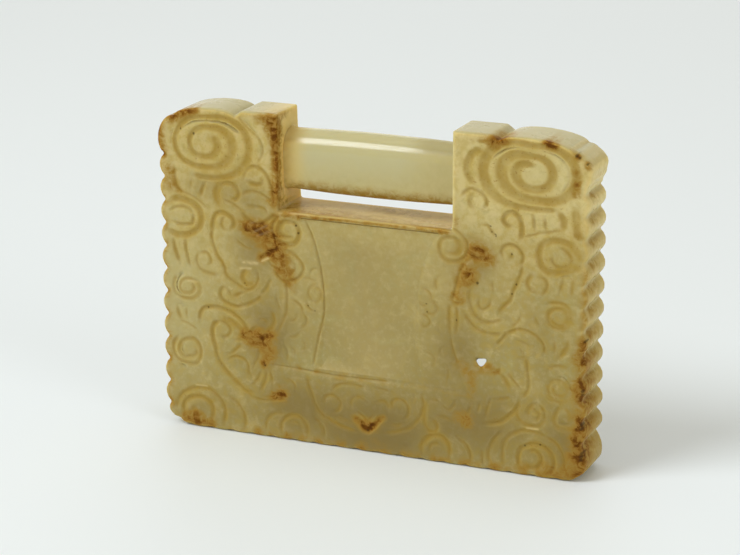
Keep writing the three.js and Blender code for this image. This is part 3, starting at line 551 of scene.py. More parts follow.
def drawCut(depthMap, rows, depth):
    # rows hold x, z and width; the tool is touched down again and again along them
    path = throughPoints(rows, carving["step"])
    gone = np.concatenate([[0], np.cumsum(np.hypot(*np.diff(path[:, :2], axis=0).T))])
    fromEnd = np.minimum(gone, gone[-1] - gone)
    end = carving["endDepth"]
    deep = depth * (end + (1 - end) * smoothStep(0, carving["taper"], fromEnd))
    cell, margin = carving["cell"], carving["margin"]
    for (x, z, width), d in zip(path, deep):
        reach = width * carving["flare"]
        low = [int(max(0, (v + margin - reach) / cell)) for v in (z, x)]
        high = [int((v + margin + reach) / cell) + 2 for v in (z, x)]
        window = depthMap[low[0]:high[0], low[1]:high[1]]
        zs = (np.arange(low[0], low[0] + window.shape[0]) * cell - margin - z)[:, None]
        xs = (np.arange(low[1], low[1] + window.shape[1]) * cell - margin - x)[None, :]
        fall = np.clip(1 - (xs * xs + zs * zs) / reach ** 2, 0, 1)
        np.maximum(window, d * fall * fall, out=window)


def soften(field, passes):
    for _ in range(passes):
        for axis in (0, 1):
            field = (np.roll(field, 1, axis) + 2 * field + np.roll(field, -1, axis)) / 4
    return field


def drawCarving():
    rows = int((carving["height"] + 2 * carving["margin"]) / carving["cell"])
    columns = int((2 * carving["halfWidth"] + 2 * carving["margin"]) / carving["cell"])
    depthMap = np.zeros((rows, columns))
    for spiral in spirals.values():
        drawCut(depthMap, spiralRows(spiral), spiral["depth"])
    for group in cuts.values():
        for width, depth, *places in group:
            drawCut(depthMap, [(x, z, width) for x, z in places], depth)
    depthMap = soften(depthMap, carving["softening"])
    zs = (np.arange(rows) * carving["cell"] - carving["margin"])[:, None]
    xs = (np.arange(columns) * carving["cell"] - carving["margin"])[None, :]
    ground = np.zeros_like(depthMap)
    for x, z, reach, depth in hollows:
        ground += depth * np.exp(-((xs - x) ** 2 + (zs - z) ** 2) / reach ** 2)
    return depthMap, ground


def sampled(field, x, z):
    # reads a map at places in the frame, in mm
    across = (x + carving["halfWidth"] + carving["margin"]) / carving["cell"]
    up = (z + carving["margin"]) / carving["cell"]
    i = np.clip(up.astype(int), 0, field.shape[0] - 2)
    j = np.clip(across.astype(int), 0, field.shape[1] - 2)
    v, u = np.clip(up - i, 0, 1), np.clip(across - j, 0, 1)
    return ((field[i, j] * (1 - u) + field[i, j + 1] * u) * (1 - v)
            + (field[i + 1, j] * (1 - u) + field[i + 1, j + 1] * u) * v)


def placesOf(piece):
    places = np.empty(len(piece.data.vertices) * 3, np.float32)
    piece.data.vertices.foreach_get("co", places)
    return places.reshape(-1, 3).astype(float) / mm


def moveTo(piece, places):
    piece.data.vertices.foreach_set("co", (places * mm).astype(np.float32).ravel())
    piece.data.update()


def normalsOf(piece):
    normals = np.empty(len(piece.data.vertices) * 3, np.float32)
    piece.data.vertex_normals.foreach_get("vector", normals)
    return normals.reshape(-1, 3)


# The hourglass panel and the crescents beside it are lower than the front, as in the solids

grounds = {
    "offset": 0.4,
    "waistHeight": 23.5,
    "bottom": 12.4,
    "top": 38.0,
    "edge": 0.25,
    "steps": ((35.0, 28.7, 34.6, 0.45), (24.0, 16.0, 18.4, 0.45)),  # widths at top, waist and bottom; drop
    "soft": 0.55,         # half the width that wear has spread each step over
    "left": 0.3,          # share of the drop that is left to see
    "around": 0.3,        # how much further the wear reaches
    "from": (0.0, 0.05),  # drop from which a place counts as lowered
}


def groundBelowFront(x, z, edge):
    drop = np.zeros_like(x)
    waistHeight = grounds["waistHeight"]
    upper = z > waistHeight
    reach = np.where(upper, grounds["top"] - waistHeight, waistHeight - grounds["bottom"])
    share = ((z - waistHeight) / reach) ** 2
    inside = smoothStep(-edge, edge, np.minimum(z - grounds["bottom"], grounds["top"] - z))
    for top, waist, bottom, depth in grounds["steps"]:
        half = (waist + (np.where(upper, top, bottom) - waist) * share) / 2
        within = smoothStep(-edge, edge, half - np.abs(x - grounds["offset"]))
        drop += depth * inside * within
    return drop


# The open front is well away from the edges. There only the drawing says how deep the stone is cut.

openFront = {
    "sides": 33.0, "bottom": (1.5, 2.5), "slot": 37.8, "shoulders": (16.3, 17.1), "top": 51.5,
    "soft": 1.0, "slotSoft": 0.8,              # how gently it ends there
    "leftOut": ((19.5, 17.9), (-8.3, 11.3)),  # the hole and the panel's lower left corner
    "reach": (1.4, 2.2),
}


def awayFromEdges(x, z):
    aside, soft = np.abs(x), openFront["soft"]
    shoulders = smoothStep(*openFront["shoulders"], aside) * smoothStep(0.0, soft, openFront["top"] - z)
    inner = np.maximum(smoothStep(0.0, openFront["slotSoft"], openFront["slot"] - z), shoulders)
    inner = inner * smoothStep(0.0, soft, openFront["sides"] - aside) * smoothStep(*openFront["bottom"], z)
    for placeX, placeZ in openFront["leftOut"]:
        inner = inner * smoothStep(*openFront["reach"], np.hypot(x - placeX, z - placeZ))
    return inner


def carve(piece, depthMap, ground):
    places = placesOf(piece)
    x, z = places[:, 0], places[:, 2]
    inward = places[:, 1] - carving["front"]
    facing = smoothStep(*carving["facing"], -normalsOf(piece)[:, 1])
    already = inward - groundBelowFront(x, z, grounds["edge"])
    floor = grounds["left"] * groundBelowFront(x, z, grounds["soft"])
    cut = sampled(depthMap, x, z)
    onGround = smoothStep(*grounds["from"], groundBelowFront(x, z, grounds["soft"] + grounds["around"]))
    inner = awayFromEdges(x, z)
    drawn = np.maximum.reduce([smoothStep(*carving["cutFrom"], cut), onGround, inner])
    facing = np.maximum.reduce([facing, onGround * (z < grounds["top"] - 0.1), inner])
    settled = drawn * (cut * carving["worn"] - already) + floor - groundBelowFront(x, z, grounds["edge"])
    share = facing * (1 - smoothStep(carving["full"], carving["fade"], inward))
    places[:, 1] += share * (settled + sampled(ground, x, z))
    moveTo(piece, places)


# The bar meets the shoulders squarely, and its upper front corner is worn to a wide curve

barShape = {
    "left": -15.3, "right": 14.5, "run": 1.3, "spread": 0.4,
    "middle": (0.25, 46.5), "half": (2.7, 5.1), "taper": 0.06, "radius": 3.3,
    "around": (0.5, 0.6), "past": 0.05,  # what lies this near to the bar and past its ends moves with it
}


def straightenBar(piece):
    places = placesOf(piece)
    x, y, z = places.T
    fromEnd = np.minimum(x - barShape["left"], barShape["right"] - x)
    into = np.clip(1 - fromEnd / barShape["run"], 0, 1)
    spread = barShape["spread"] * (1 - np.sqrt(1 - into ** 2)) * (fromEnd > -barShape["past"])
    (middleY, middleZ), (halfY, halfZ) = barShape["middle"], barShape["half"]
    aroundY, aroundZ = barShape["around"]
    onBar = (np.abs(y - middleY) < halfY + aroundY) & (np.abs(z - middleZ) < halfZ + aroundZ)
    size = 1 - onBar * spread / halfZ
    y, z = (y - middleY) * size, (z - middleZ) * size
    length = barShape["right"] - barShape["left"]
    scale = 1 - barShape["taper"] * np.clip(1 - 2 * fromEnd / length, 0, 1) ** 2
    radius = barShape["radius"]
    back, up = (halfY - radius) * scale, (halfZ - radius) * scale
    outY, outZ = -y - back, z - up
    corner = onBar & (fromEnd > -barShape["past"]) & (outY > 0) & (outZ > 0)
    far = np.where(corner, np.hypot(outY, outZ), 1)
    places[:, 1] = middleY + np.where(corner, -(back + outY / far * radius * scale), y)
    places[:, 2] = middleZ + np.where(corner, up + outZ / far * radius * scale, z)
    moveTo(piece, places)


# The right front edge is worn round, and the side scallops are cut deeper than in the solids

sideWear = {
    "edge": (36.0, 0.2), "reach": 1.9, "passes": 70,  # edge as x and how far behind the front
    "levels": 10, "strength": 1.3,                    # the smoothing has this many strengths
    "cusps": 35.2, "most": 1.3,                       # only what stands out past this x is moved
    "left": 0.40, "right": 0.48, "lowRight": 0.25,    # extra depth, as a share of what stands out
    "low": (8.0, 20.0),                               # heights over which the lower part's extra fades
    "knobs": (45.5, 47.5),                            # the corner lobes above here keep their shape
    "rightKnob": {"from": (48.5, 51.0), "gain": 0.5, "neck": (47.2, 0.8), "neckGain": 0.3},
}

# The hole slants back to the left and downwards, and flares as it goes

smallHole = {
    "at": (19.5, 17.9), "slant": 0.37, "reach": 1.6, "widened": (0.34, 0.22),
    "flare": (0.5, 6.0), "flareGain": 1.2,
}


def roundRightEdge(piece):
    places = placesOf(piece)
    inward = places[:, 1] - carving["front"]
    far = np.hypot(places[:, 0] - sideWear["edge"][0], inward - sideWear["edge"][1]) / sideWear["reach"]
    most = sideWear["levels"]
    levels = np.round(most * np.minimum(1, sideWear["strength"] * np.exp(-far ** 2))).astype(int)
    group = piece.vertex_groups.new(name="roundedEdge")
    for level in range(1, most + 1):
        group.add(np.flatnonzero(levels == level).tolist(), level / most, "REPLACE")
    applyModifier(piece, "SMOOTH", factor=0.5, iterations=sideWear["passes"], vertex_group=group.name)
    piece.vertex_groups.clear()


def deepenScallops(places):
    x, z = places[:, 0], places[:, 2]
    below = 1 - smoothStep(*sideWear["knobs"], z)
    right = below * (sideWear["right"] + sideWear["lowRight"] * (1 - smoothStep(*sideWear["low"], z)))
    knob = sideWear["rightKnob"]
    neckHeight, neckReach = knob["neck"]
    neck = np.exp(-((z - neckHeight) / neckReach) ** 2)
    right += knob["gain"] * smoothStep(*knob["from"], z) - knob["neckGain"] * neck
    for side, gain in ((1, right), (-1, below * sideWear["left"])):
        places[:, 0] += side * gain * np.clip(side * x - sideWear["cusps"], 0, sideWear["most"])


def widenHole(places):
    inward = places[:, 1] - carving["front"]
    away = [places[:, axis] - centre + smallHole["slant"] * inward
            for axis, centre in zip((0, 2), smallHole["at"])]
    near = np.exp(-(away[0] ** 2 + away[1] ** 2) / smallHole["reach"] ** 2)
    near *= 1 + smallHole["flareGain"] * smoothStep(*smallHole["flare"], inward)
    for axis, gain, far in zip((0, 2), smallHole["widened"], away):
        places[:, axis] += near * gain * far


def shapeSides(piece):
    places = placesOf(piece)
    deepenScallops(places)
    widenHole(places)
    moveTo(piece, places)


straightenBar(carvedJade)
depthMap, ground = drawCarving()
carve(carvedJade, depthMap, ground)
roundRightEdge(carvedJade)
shapeSides(carvedJade)
tooMany = 2 * len(carvedJade.data.polygons) / stone["mostTriangles"]
applyModifier(carvedJade, "DECIMATE", ratio=1 / tooMany)
deselectAll()
makeActive(carvedJade)
bpy.ops.object.shade_smooth_by_angle(angle=stone["sharpAngle"])
print("stone carved:", len(carvedJade.data.polygons), "triangles")

# What age has left on the stone. Dabs hold x, z, how far behind the front, reach and strength.

stains = {
    "leftShoulder": (
        (2.3, 52.7, 0.2, 1, 0.8), (3.6, 53.3, 0.3, 0.9, 0.85), (5.2, 53.8, 0.3, 0.8, 0.8),
        (6.6, 54.1, 0.4, 0.7, 0.5), (-0.3, 51.4, 0.6, 1.1, 0.9), (-1, 50.2, 0.8, 1.3, 1),
        (-1.1, 48.8, 0.8, 1.4, 1), (-0.5, 47.4, 0.6, 1.3, 1), (0.3, 46.4, 0.4, 0.9, 0.9),
        (-1.3, 49.2, 3, 1.8, 0.5), (-1.3, 49.9, 0.4, 0.7, 1), (-1.2, 48.4, 0.4, 0.7, 1),
        (20.6, 52.6, 0.2, 0.9, 0.8), (20.7, 51.2, 0.2, 0.9, 0.8), (20.7, 48.6, 0.2, 0.8, 0.7),
        (20.7, 46.6, 0.2, 0.8, 0.7), (1.6, 43.6, 0.2, 1.2, 0.5), (1.9, 41.2, 0.2, 1, 0.45),
        (3.2, 40.4, 0.2, 0.6, 0.5), (19.8, 53.6, 0.2, 0.9, 0.9), (20.3, 52.4, 0.2, 1, 0.95),
        (20.4, 50.8, 0.2, 0.9, 0.85), (20.5, 49.2, 0.2, 0.8, 0.75), (20.5, 47.4, 0.3, 0.8, 0.65),
        (20.5, 45.6, 0.3, 0.8, 0.6), (20.5, 43.6, 0.3, 0.9, 0.7), (20.6, 41.8, 0.4, 1.2, 0.8),
        (20.6, 40.2, 0.3, 1, 0.6), (19.4, 40.1, 0.2, 0.9, 0.4), (22.4, 39, 1, 1.2, 0.35),
        (24.2, 38.8, 1, 1.2, 0.4),
    ),
    "rightShoulder": (
        (57, 53.4, 0.2, 1.3, 0.65), (58.4, 54.2, 0.6, 1.3, 0.8), (59.4, 54.8, 2, 1.3, 0.6),
        (65.8, 54.1, 0.2, 0.9, 0.95), (66.9, 53.6, 0.2, 0.7, 0.8), (70.4, 53.9, 0.4, 0.8, 0.8),
        (70.5, 52.4, 0.3, 0.7, 0.7), (72.1, 51, 0.6, 0.8, 0.6), (70.4, 46.4, 0.2, 0.8, 0.5),
        (70.6, 48, 0.2, 0.9, 0.5), (70.4, 49.8, 0.2, 0.8, 0.4), (51.2, 40.2, 0.4, 0.8, 0.5),
        (70.9, 40, 0.3, 0.8, 0.4),
    ),
    "upperBats": (
        (14.8, 35.6, 0.3, 1.3, 0.6), (16.4, 35.3, 0.3, 1.7, 0.65), (18.2, 35.1, 0.3, 1.8, 0.65),
        (19.8, 34.4, 0.3, 1.5, 0.6), (17.6, 33.3, 0.3, 1.4, 0.45), (20.7, 33, 0.3, 1.3, 0.8),
        (19.4, 31.6, 0.3, 1.2, 0.85), (17.6, 30.5, 0.3, 0.9, 0.6), (21.2, 31.2, 0.3, 1.3, 0.7),
        (21, 29.3, 0.3, 1.5, 0.65), (22.5, 28.3, 0.4, 1.4, 0.55), (22.6, 26.9, 0.4, 1.1, 0.4),
        (20.4, 37.6, 0.3, 1, 0.5), (54.3, 36.1, 0.3, 1.5, 0.55), (55.4, 35.3, 0.3, 1.7, 0.6),
        (56.8, 34.7, 0.3, 1.2, 0.5), (53.2, 34.8, 0.3, 1.2, 0.3), (52.9, 32.9, 0.3, 1.3, 0.55),
        (53.9, 32.1, 0.3, 1.2, 0.6), (52.3, 31.4, 0.3, 1.3, 0.5), (53.4, 30.8, 0.3, 0.9, 0.4),
        (51.8, 29.6, 0.4, 1.2, 0.4), (51.2, 28, 0.5, 1.3, 0.5), (52.3, 27.6, 0.5, 0.9, 0.3),
    ),
    "lowerBats": (
        (14.5, 17.3, 0.3, 1.1, 0.7), (15.7, 16.6, 0.3, 1.5, 0.75), (17.2, 17.6, 0.3, 1.3, 0.6),
        (17.7, 16.3, 0.3, 1.5, 0.65), (19.3, 17.7, 0.3, 1.1, 0.7), (18.9, 15.4, 0.3, 1.4, 0.6),
        (19, 13.8, 0.3, 1.3, 0.6), (17.8, 12.6, 0.3, 0.8, 0.8), (19.6, 7.3, 0.2, 1, 0.75),
        (21.1, 7.8, 0.2, 1.2, 0.8), (52, 17.1, 0.3, 1, 0.45), (53.3, 16, 0.3, 1.1, 0.5),
        (54, 14.4, 0.2, 1, 0.5), (54, 12.5, 0.2, 0.9, 0.45), (56.7, 17.1, 0.2, 0.9, 0.5),
        (57.9, 16.6, 0.2, 0.8, 0.45), (53.1, 7.9, 0.2, 1.3, 0.8), (51.6, 8.3, 0.2, 0.9, 0.5),
        (55.4, 17, 0.2, 1.2, 0.4),
    ),
    "underPanel": (
        (34.1, 5.4, 0.3, 0.9, 0.5), (35.5, 4.6, 0.3, 1, 0.75), (36.7, 4.4, 0.3, 1.1, 0.8),
        (38.2, 5.6, 0.3, 0.8, 0.55), (39, 6.3, 0.3, 0.6, 0.5), (24, 12.6, 0.5, 0.8, 0.35),
        (27, 12.5, 0.5, 0.8, 0.35), (31.5, 12.2, 0.5, 1.2, 0.3), (35.4, 12, 0.5, 1.2, 0.3),
        (38.6, 12.2, 0.5, 0.9, 0.25),
    ),
    "slotFloor": (
        (22.3, 38.8, 0.3, 1, 0.7), (24.6, 38.6, 0.3, 0.8, 0.6), (27.4, 38.2, 0.3, 0.9, 0.6),
        (29.4, 38, 0.3, 0.7, 0.6), (32.8, 38.8, 0.3, 0.6, 0.45), (36, 38.8, 0.3, 0.5, 0.5),
        (39.4, 38.8, 0.3, 0.6, 0.45), (42.6, 38.8, 0.3, 0.5, 0.5), (45.4, 38.8, 0.3, 0.6, 0.5),
        (48.6, 38.8, 0.3, 0.7, 0.6), (26, 38.8, 3, 2.2, 0.35), (31, 38.8, 3, 2.4, 0.3),
        (37, 38.8, 3, 2.6, 0.3), (43, 38.8, 3, 2.6, 0.3), (48.5, 38.8, 3, 2.2, 0.3),
        (34, 38.8, 6.5, 2.2, 0.35), (27.5, 38.8, 6.5, 2.2, 0.35), (41, 38.8, 6.5, 2.4, 0.35),
        (47, 38.8, 6.5, 2.2, 0.35),
    ),
    "bottomEdge": (
        (3.3, 1.4, 0.5, 1, 0.9), (4.6, 1.1, 0.4, 1.1, 1), (6.1, 1.1, 0.4, 1.1, 1), (8, 0.7, 0.4, 1.1, 0.8),
        (5.2, 2.2, 0.2, 0.9, 0.7), (12, 0.4, 0.6, 1.1, 0.4), (16.7, 0.6, 0.5, 0.8, 0.8),
        (19.4, 0.4, 0.6, 1, 0.5), (22.2, 0.6, 0.5, 0.9, 0.9), (25, 0.4, 0.6, 1, 0.5),
        (27.6, 0.4, 0.5, 0.9, 0.85), (31, 0.3, 0.6, 1.2, 0.5), (35, 0.4, 0.5, 1, 0.7),
        (38.8, 0.3, 0.6, 1.2, 0.5), (43.6, 0.3, 0.6, 1.2, 0.5), (48.4, 0.3, 0.6, 1.3, 0.55),
        (53.2, 0.4, 0.6, 1.3, 0.55), (58, 0.5, 0.6, 1.4, 0.55), (62.4, 0.7, 0.6, 1.5, 0.55),
        (66.6, 1.2, 0.6, 1.7, 0.6), (69.6, 1.4, 0.6, 1.6, 0.6), (71.6, 1.7, 0.6, 1.4, 0.75),
    ),
    "rightEdge": (
        (72, 22.9, 0.4, 0.9, 0.7), (72.2, 21.2, 0.5, 1.1, 0.85), (72.2, 19.8, 0.5, 1.1, 0.85),
        (71.4, 20.6, 0.1, 1.2, 0.5), (71.9, 16.6, 0.4, 1.1, 0.9), (71.9, 15, 0.4, 1.1, 1),
        (72, 13.8, 0.5, 0.9, 0.8), (71.2, 15.4, 0.1, 1.2, 0.5), (71.8, 10.7, 0.4, 1, 0.9),
        (71.8, 9.2, 0.4, 1.1, 1), (71.1, 7.3, 0.3, 1.1, 0.6), (71.9, 6.6, 0.4, 1.2, 0.9),
        (71.9, 5, 0.4, 1.1, 1), (71.8, 3.7, 0.5, 1.1, 1), (71, 4.4, 0.1, 1.4, 0.5),
        (72.3, 12.2, 1.4, 1.6, 0.5), (72.4, 7.8, 1.6, 1.6, 0.5), (72.4, 3.8, 1.6, 1.6, 0.6),
        (72.4, 18.2, 1.6, 1.5, 0.4),
    ),
}

# Where the stone is painted darker and browner, partly its own tone and partly painted shade: x, z, reach
# sideways, reach upwards and strength

toneAndShadeDabs = (
    (17, 33, 5, 7, 0.65), (18.5, 18, 5, 7, 0.7), (24, 6, 8, 5, 0.8), (38, 4, 12, 6.5, 0.95),
    (54, 34, 4.5, 5, 0.55), (51.5, 20, 4.5, 8, 0.55), (56, 8, 10, 6.5, 0.65), (69.5, 6, 4, 6, 0.6),
    (66, 24, 5, 12, 0.3), (36, 24, 9, 13, 0.32), (36, 34, 11, 6, 0.25), (68, 3, 5, 3.5, 0.4),
    (10, 41.5, 11, 3.5, 0.45), (73.4, 30, 1.5, 16, 0.4), (73.4, 8, 1.7, 14, 0.75), (7, 3.5, 8, 4.5, 0.5),
)

# Small specks of black in the cuts, as x, z and reach

specks = (
    (6, 50.1, 0.45), (3.7, 50.7, 0.35), (24.2, 35.4, 0.4), (23.8, 36.6, 0.35), (56.8, 40.1, 0.35),
    (57, 39.2, 0.3), (57.7, 38.6, 0.3), (61.1, 31.2, 0.35), (60.4, 29.6, 0.35), (60.3, 36, 0.35),
    (62.9, 5, 0.35), (65.4, 5.5, 0.35), (51.3, 24.3, 0.35), (46.2, 26.3, 0.3), (46.3, 25, 0.3),
    (26.9, 11.7, 0.35), (7.9, 21.1, 0.35), (25.8, 23.5, 0.3), (27, 22.8, 0.3), (54.7, 30.7, 0.5),
    (18, 12.4, 0.4), (36.1, 3.7, 0.4), (14.6, 26, 0.3), (57.6, 38.9, 0.3), (70.3, 52.4, 0.5),
    (70.8, 52.1, 0.4), (70.4, 54.4, 0.4), (72, 51.2, 0.35), (72.2, 31.6, 0.5), (72.3, 28.6, 0.4),
    (72.2, 23.2, 0.4), (72.1, 15.2, 0.6), (72.1, 14.6, 0.5), (72, 9.6, 0.6), (72, 9, 0.5), (72.1, 4.9, 0.5),
    (72.1, 4.4, 0.6), (72.1, 3.9, 0.5),
)

# Fine pale scratches, and painted highlights on edges, ledges and ridges that catch the light: x and z at
# each end, strength

scratches = (
    (14.5, 29.6, 16.9, 29.65, 0.8), (13.8, 28.5, 15.8, 28.65, 0.7), (17.8, 30.1, 18.9, 30.7, 0.8),
    (16.4, 34.8, 18.7, 36.1, 0.22), (17, 34.2, 19.6, 35.4, 0.18), (15.6, 36, 17.2, 36.9, 0.18),
    (5.4, 7.35, 7.3, 7.4, 0.7), (63.2, 8, 65, 8.05, 0.7), (60.6, 23, 62.8, 23.2, 0.6),
    (27.4, 13.2, 33.6, 13.25, 0.6), (38.4, 13.25, 42.8, 13.3, 0.6), (4.4, 25.3, 6, 25.2, 0.5),
    (23.2, 38.6, 27.5, 38.75, 0.5), (29, 38.8, 36.5, 38.85, 0.6), (38, 38.85, 44.5, 38.8, 0.5),
    (7, 55, 13.5, 55.1, 0.4), (15.2, 55, 20.2, 55, 0.5), (52.2, 55, 57.4, 55, 0.5),
    (3, 27.2, 3.6, 28.6, 0.3), (53, 33.6, 53.8, 34.2, 0.4),
)

# Rows of dabs: x and z at each end, count, how far behind the front, reach and strength

stainRows = (
    ((21.8, 38.3), (49.6, 38.3), 24, 0.1, 0.55, 0.45), ((22, 41.2), (50, 41.2), 29, 3.2, 1.8, 0.18),
    ((20.8, 40.6), (20.8, 53.4), 11, 0.8, 1.1, 0.4), ((22, 42.8), (50, 42.8), 29, 2.4, 1.5, 0.04),
    ((14, 0.5), (68, 0.6), 22, 0.4, 0.8, 0.35), ((0, 2), (0, 46), 34, 0.4, 0.8, 0.25),
    ((20.1, 54), (20.3, 50.5), 8, 0.2, 0.8, 0.2), ((-1.2, 50.8), (-0.6, 46.8), 8, 0.3, 0.9, 0.5),
    ((1.6, 52.2), (6.4, 53.9), 9, 0.2, 0.7, 0.35), ((22, 38.8), (49.5, 38.8), 15, 4.5, 2.6, 0.12),
    ((72.4, 2), (72.4, 20), 9, 2.6, 2.6, 0.22), ((72.2, 22), (72.2, 34), 9, 0.5, 0.9, 0.35),
)

# Rust in the notches between the side scallops

sideNotches = {
    "left": {
        "x": 0.35, "lowest": 3.7, "pitch": 3.88, "count": 11,
        "reach": 0.9, "strength": 0.7, "behind": (0.3,),
    },
    "right": {
        "x": 72.0, "lowest": 5.3, "pitch": 3.66, "count": 12,
        "reach": 1.05, "strength": 0.7, "behind": (2.8, 4.0),
    },
}
notchFading = {"upwards": 0.5, "backwards": 0.8}
specksShown = 0.6      # share of a speck's reach
scratchAndGlintWidth = 0.17


def stainOn(places):
    x, inward, z = places[:, 0] + carving["halfWidth"], places[:, 1] - carving["front"], places[:, 2]
    clean = np.ones(len(places))
    dabs = [dab for group in stains.values() for dab in group]
    for notch in sideNotches.values():
        for turn in range(notch["count"]):
            fading = 1 - notchFading["upwards"] * turn / notch["count"]
            for step, behind in enumerate(notch["behind"]):
                strength = notch["strength"] * fading / (1 + notchFading["backwards"] * step)
                height = notch["lowest"] + turn * notch["pitch"]
                dabs.append((notch["x"], height, behind, notch["reach"], strength))
    for start, end, count, behind, reach, strength in stainRows:
        dabs += [(*place, behind, reach, strength) for place in np.linspace(start, end, count)]
    for atX, atZ, behind, reach, strength in dabs:
        far = ((x - atX) ** 2 + (z - atZ) ** 2 + (inward - behind) ** 2) / reach ** 2
        clean *= 1 - strength * np.exp(-far)
    return 1 - clean


# Broad darker tone, partly painted shade
def toneAndShadeOn(places):
    x, z = places[:, 0] + carving["halfWidth"], places[:, 2]
    clear = np.ones(len(places))
    for atX, atZ, across, up, strength in toneAndShadeDabs:
        clear *= 1 - strength * np.exp(-((x - atX) / across) ** 2 - ((z - atZ) / up) ** 2)
    return 1 - clear


# The bar and the tops of the shoulders were not carved and hold no dirt. Painted sheen lies on the tops,
# painted glow on the right shoulder and low on the left side, and painted highlights on the rims beside the
# right side's notches

cleanAndPaintedLightPlaces = {
    "bar": {"left": (-1.0, 4.5), "right": (-0.5, 0.5), "height": (39.5, 47.0), "duller": (4.5, 10.5)},
    "dullerBy": 0.4,
    "tops": {"above": 46.0, "share": 0.68},
    "patches": ((27.5, 49, 10, 7, 0.4), (-33, 24, 6, 14, 0.45)),  # x, z, reaches and share
    "highlightRims": {"above": 0.9, "reach": 0.35, "from": (34.6, 35.4), "share": 0.55},
}
upwards = (0.3, 0.7)  # how far a normal's part along an axis counts as facing that way


def cleanAndPaintedLightOn(places, up):
    x, z = places[:, 0], places[:, 2]
    bar, tops, highlightRims = (cleanAndPaintedLightPlaces[key] for key in ("bar", "tops", "highlightRims"))
    left, right = ([barShape[side] + step for step in bar[side]] for side in ("left", "right"))
    barShare = smoothStep(*left, x) * (1 - smoothStep(*right, x))
    barShare *= smoothStep(*bar["height"], z) * (1 - cleanAndPaintedLightPlaces["dullerBy"] * smoothStep(*bar["duller"], x))
    # the bar's clean stone, and painted sheen on the tops that look up
    shares = [barShare, tops["share"] * smoothStep(*upwards, up) * (z > tops["above"])]
    # painted glow in patches
    for atX, atZ, across, high, share in cleanAndPaintedLightPlaces["patches"]:
        shares.append(share * np.exp(-((x - atX) / across) ** 2 - ((z - atZ) / high) ** 2))
    # painted highlights on the rims beside the notches
    notch = sideNotches["right"]
    cusps = notch["lowest"] + highlightRims["above"] + notch["pitch"] * np.arange(notch["count"])
    fromCusp = np.abs(z[:, None] - cusps).min(1)
    shares.append(highlightRims["share"] * np.exp(-(fromCusp / highlightRims["reach"]) ** 2) * smoothStep(*highlightRims["from"], x))
    return np.maximum.reduce(shares)


# Painted glow, as of light from inside the stone, warms the slot's floor, the left shoulder's inner wall,
# the right side and the bar's left end

warmth = {
    "slot": {"left": -1.5, "right": 1.0, "behind": (0.3, 1.3), "floor": 38.6, "near": 1.2},
    "floorShare": 0.75,
    "wall": {"above": 39.0, "within": 0.8, "paler": (45.0, 52.0), "less": 0.4},
    "side": {"from": 33.0, "facing": (0.2, 0.8), "share": 0.25},
    "barEnd": {"length": 5.0, "share": 0.5},
}


def warmOn(places, normals):
    x, z = places[:, 0], places[:, 2]
    slot, wall, side, barEnd = (warmth[key] for key in ("slot", "wall", "side", "barEnd"))
    left = barShape["left"]
    inSlot = (x > left + slot["left"]) & (x < barShape["right"] + slot["right"])
    inSlot = inSlot * smoothStep(*slot["behind"], places[:, 1] - carving["front"])
    onFloor = smoothStep(*upwards, normals[:, 2]) * (np.abs(z - slot["floor"]) < slot["near"])
    above = z > wall["above"]
    onWall = inSlot * smoothStep(*upwards, normals[:, 0]) * above * (x < left + wall["within"])
    onWall = onWall * (1 - wall["less"] * smoothStep(*wall["paler"], z))
    onSide = side["share"] * smoothStep(*side["facing"], normals[:, 0]) * (x > side["from"])
    # painted glow at the bar's left end, against the shade of the shoulder
    onBar = barEnd["share"] * inSlot * (1 - smoothStep(left, left + barEnd["length"], x)) * above
    return np.maximum.reduce([warmth["floorShare"] * inSlot * onFloor, onWall, onSide, onBar])


def specksOn(places):
    x, inward, z = places[:, 0] + carving["halfWidth"], places[:, 1] - carving["front"], places[:, 2]
    dark = np.zeros(len(places))
    for atX, atZ, reach in specks:
        far = ((x - atX) ** 2 + (z - atZ) ** 2) / (specksShown * reach) ** 2
        dark = np.maximum(dark, np.exp(-far))
    return dark * (inward < carving["fade"])


# Pale scratches, and painted highlights along edges, ledges and ridges
def scratchesAndGlintsOn(places):
    across = np.column_stack([places[:, 0] + carving["halfWidth"], places[:, 2]])
    pale = np.zeros(len(places))
    for startX, startZ, endX, endZ, strength in scratches:
        run = np.array((endX - startX, endZ - startZ))
        share = np.clip((across - (startX, startZ)) @ run / (run @ run), 0, 1)
        far = ((across - (startX, startZ) - share[:, None] * run) ** 2).sum(1)
        pale = np.maximum(pale, strength * np.exp(-far / scratchAndGlintWidth ** 2))
    return pale * (places[:, 1] < carving["front"] + carving["full"])


def paint(piece, name, values):
    layer = piece.data.attributes.new(name, "FLOAT", "POINT")
    layer.data.foreach_set("value", values.astype(np.float32))


def spreadMap(cells, passes):
    # the depth map, blurred at a coarser grid
    rows, columns = depthMap.shape
    return soften(depthMap[::cells, ::cells], passes).repeat(cells, 0).repeat(cells, 1)[:rows, :columns]


# Dirt lies in the cuts and spreads from them, with painted shade in and around them; blurs are cells of the
# map and passes

dirtAndShadeSpread = {"own": 0.5, "blurred": 0.9, "near": (2, 10), "around": (3, 40)}
# Painted shade on faces that look up: the shoulders' tops and the slot's floor are painted browner
browner = {"tops": 0.88, "across": -0.005, "slotFloor": 0.5, "slotAbove": 36.0}  # where the stone faces up


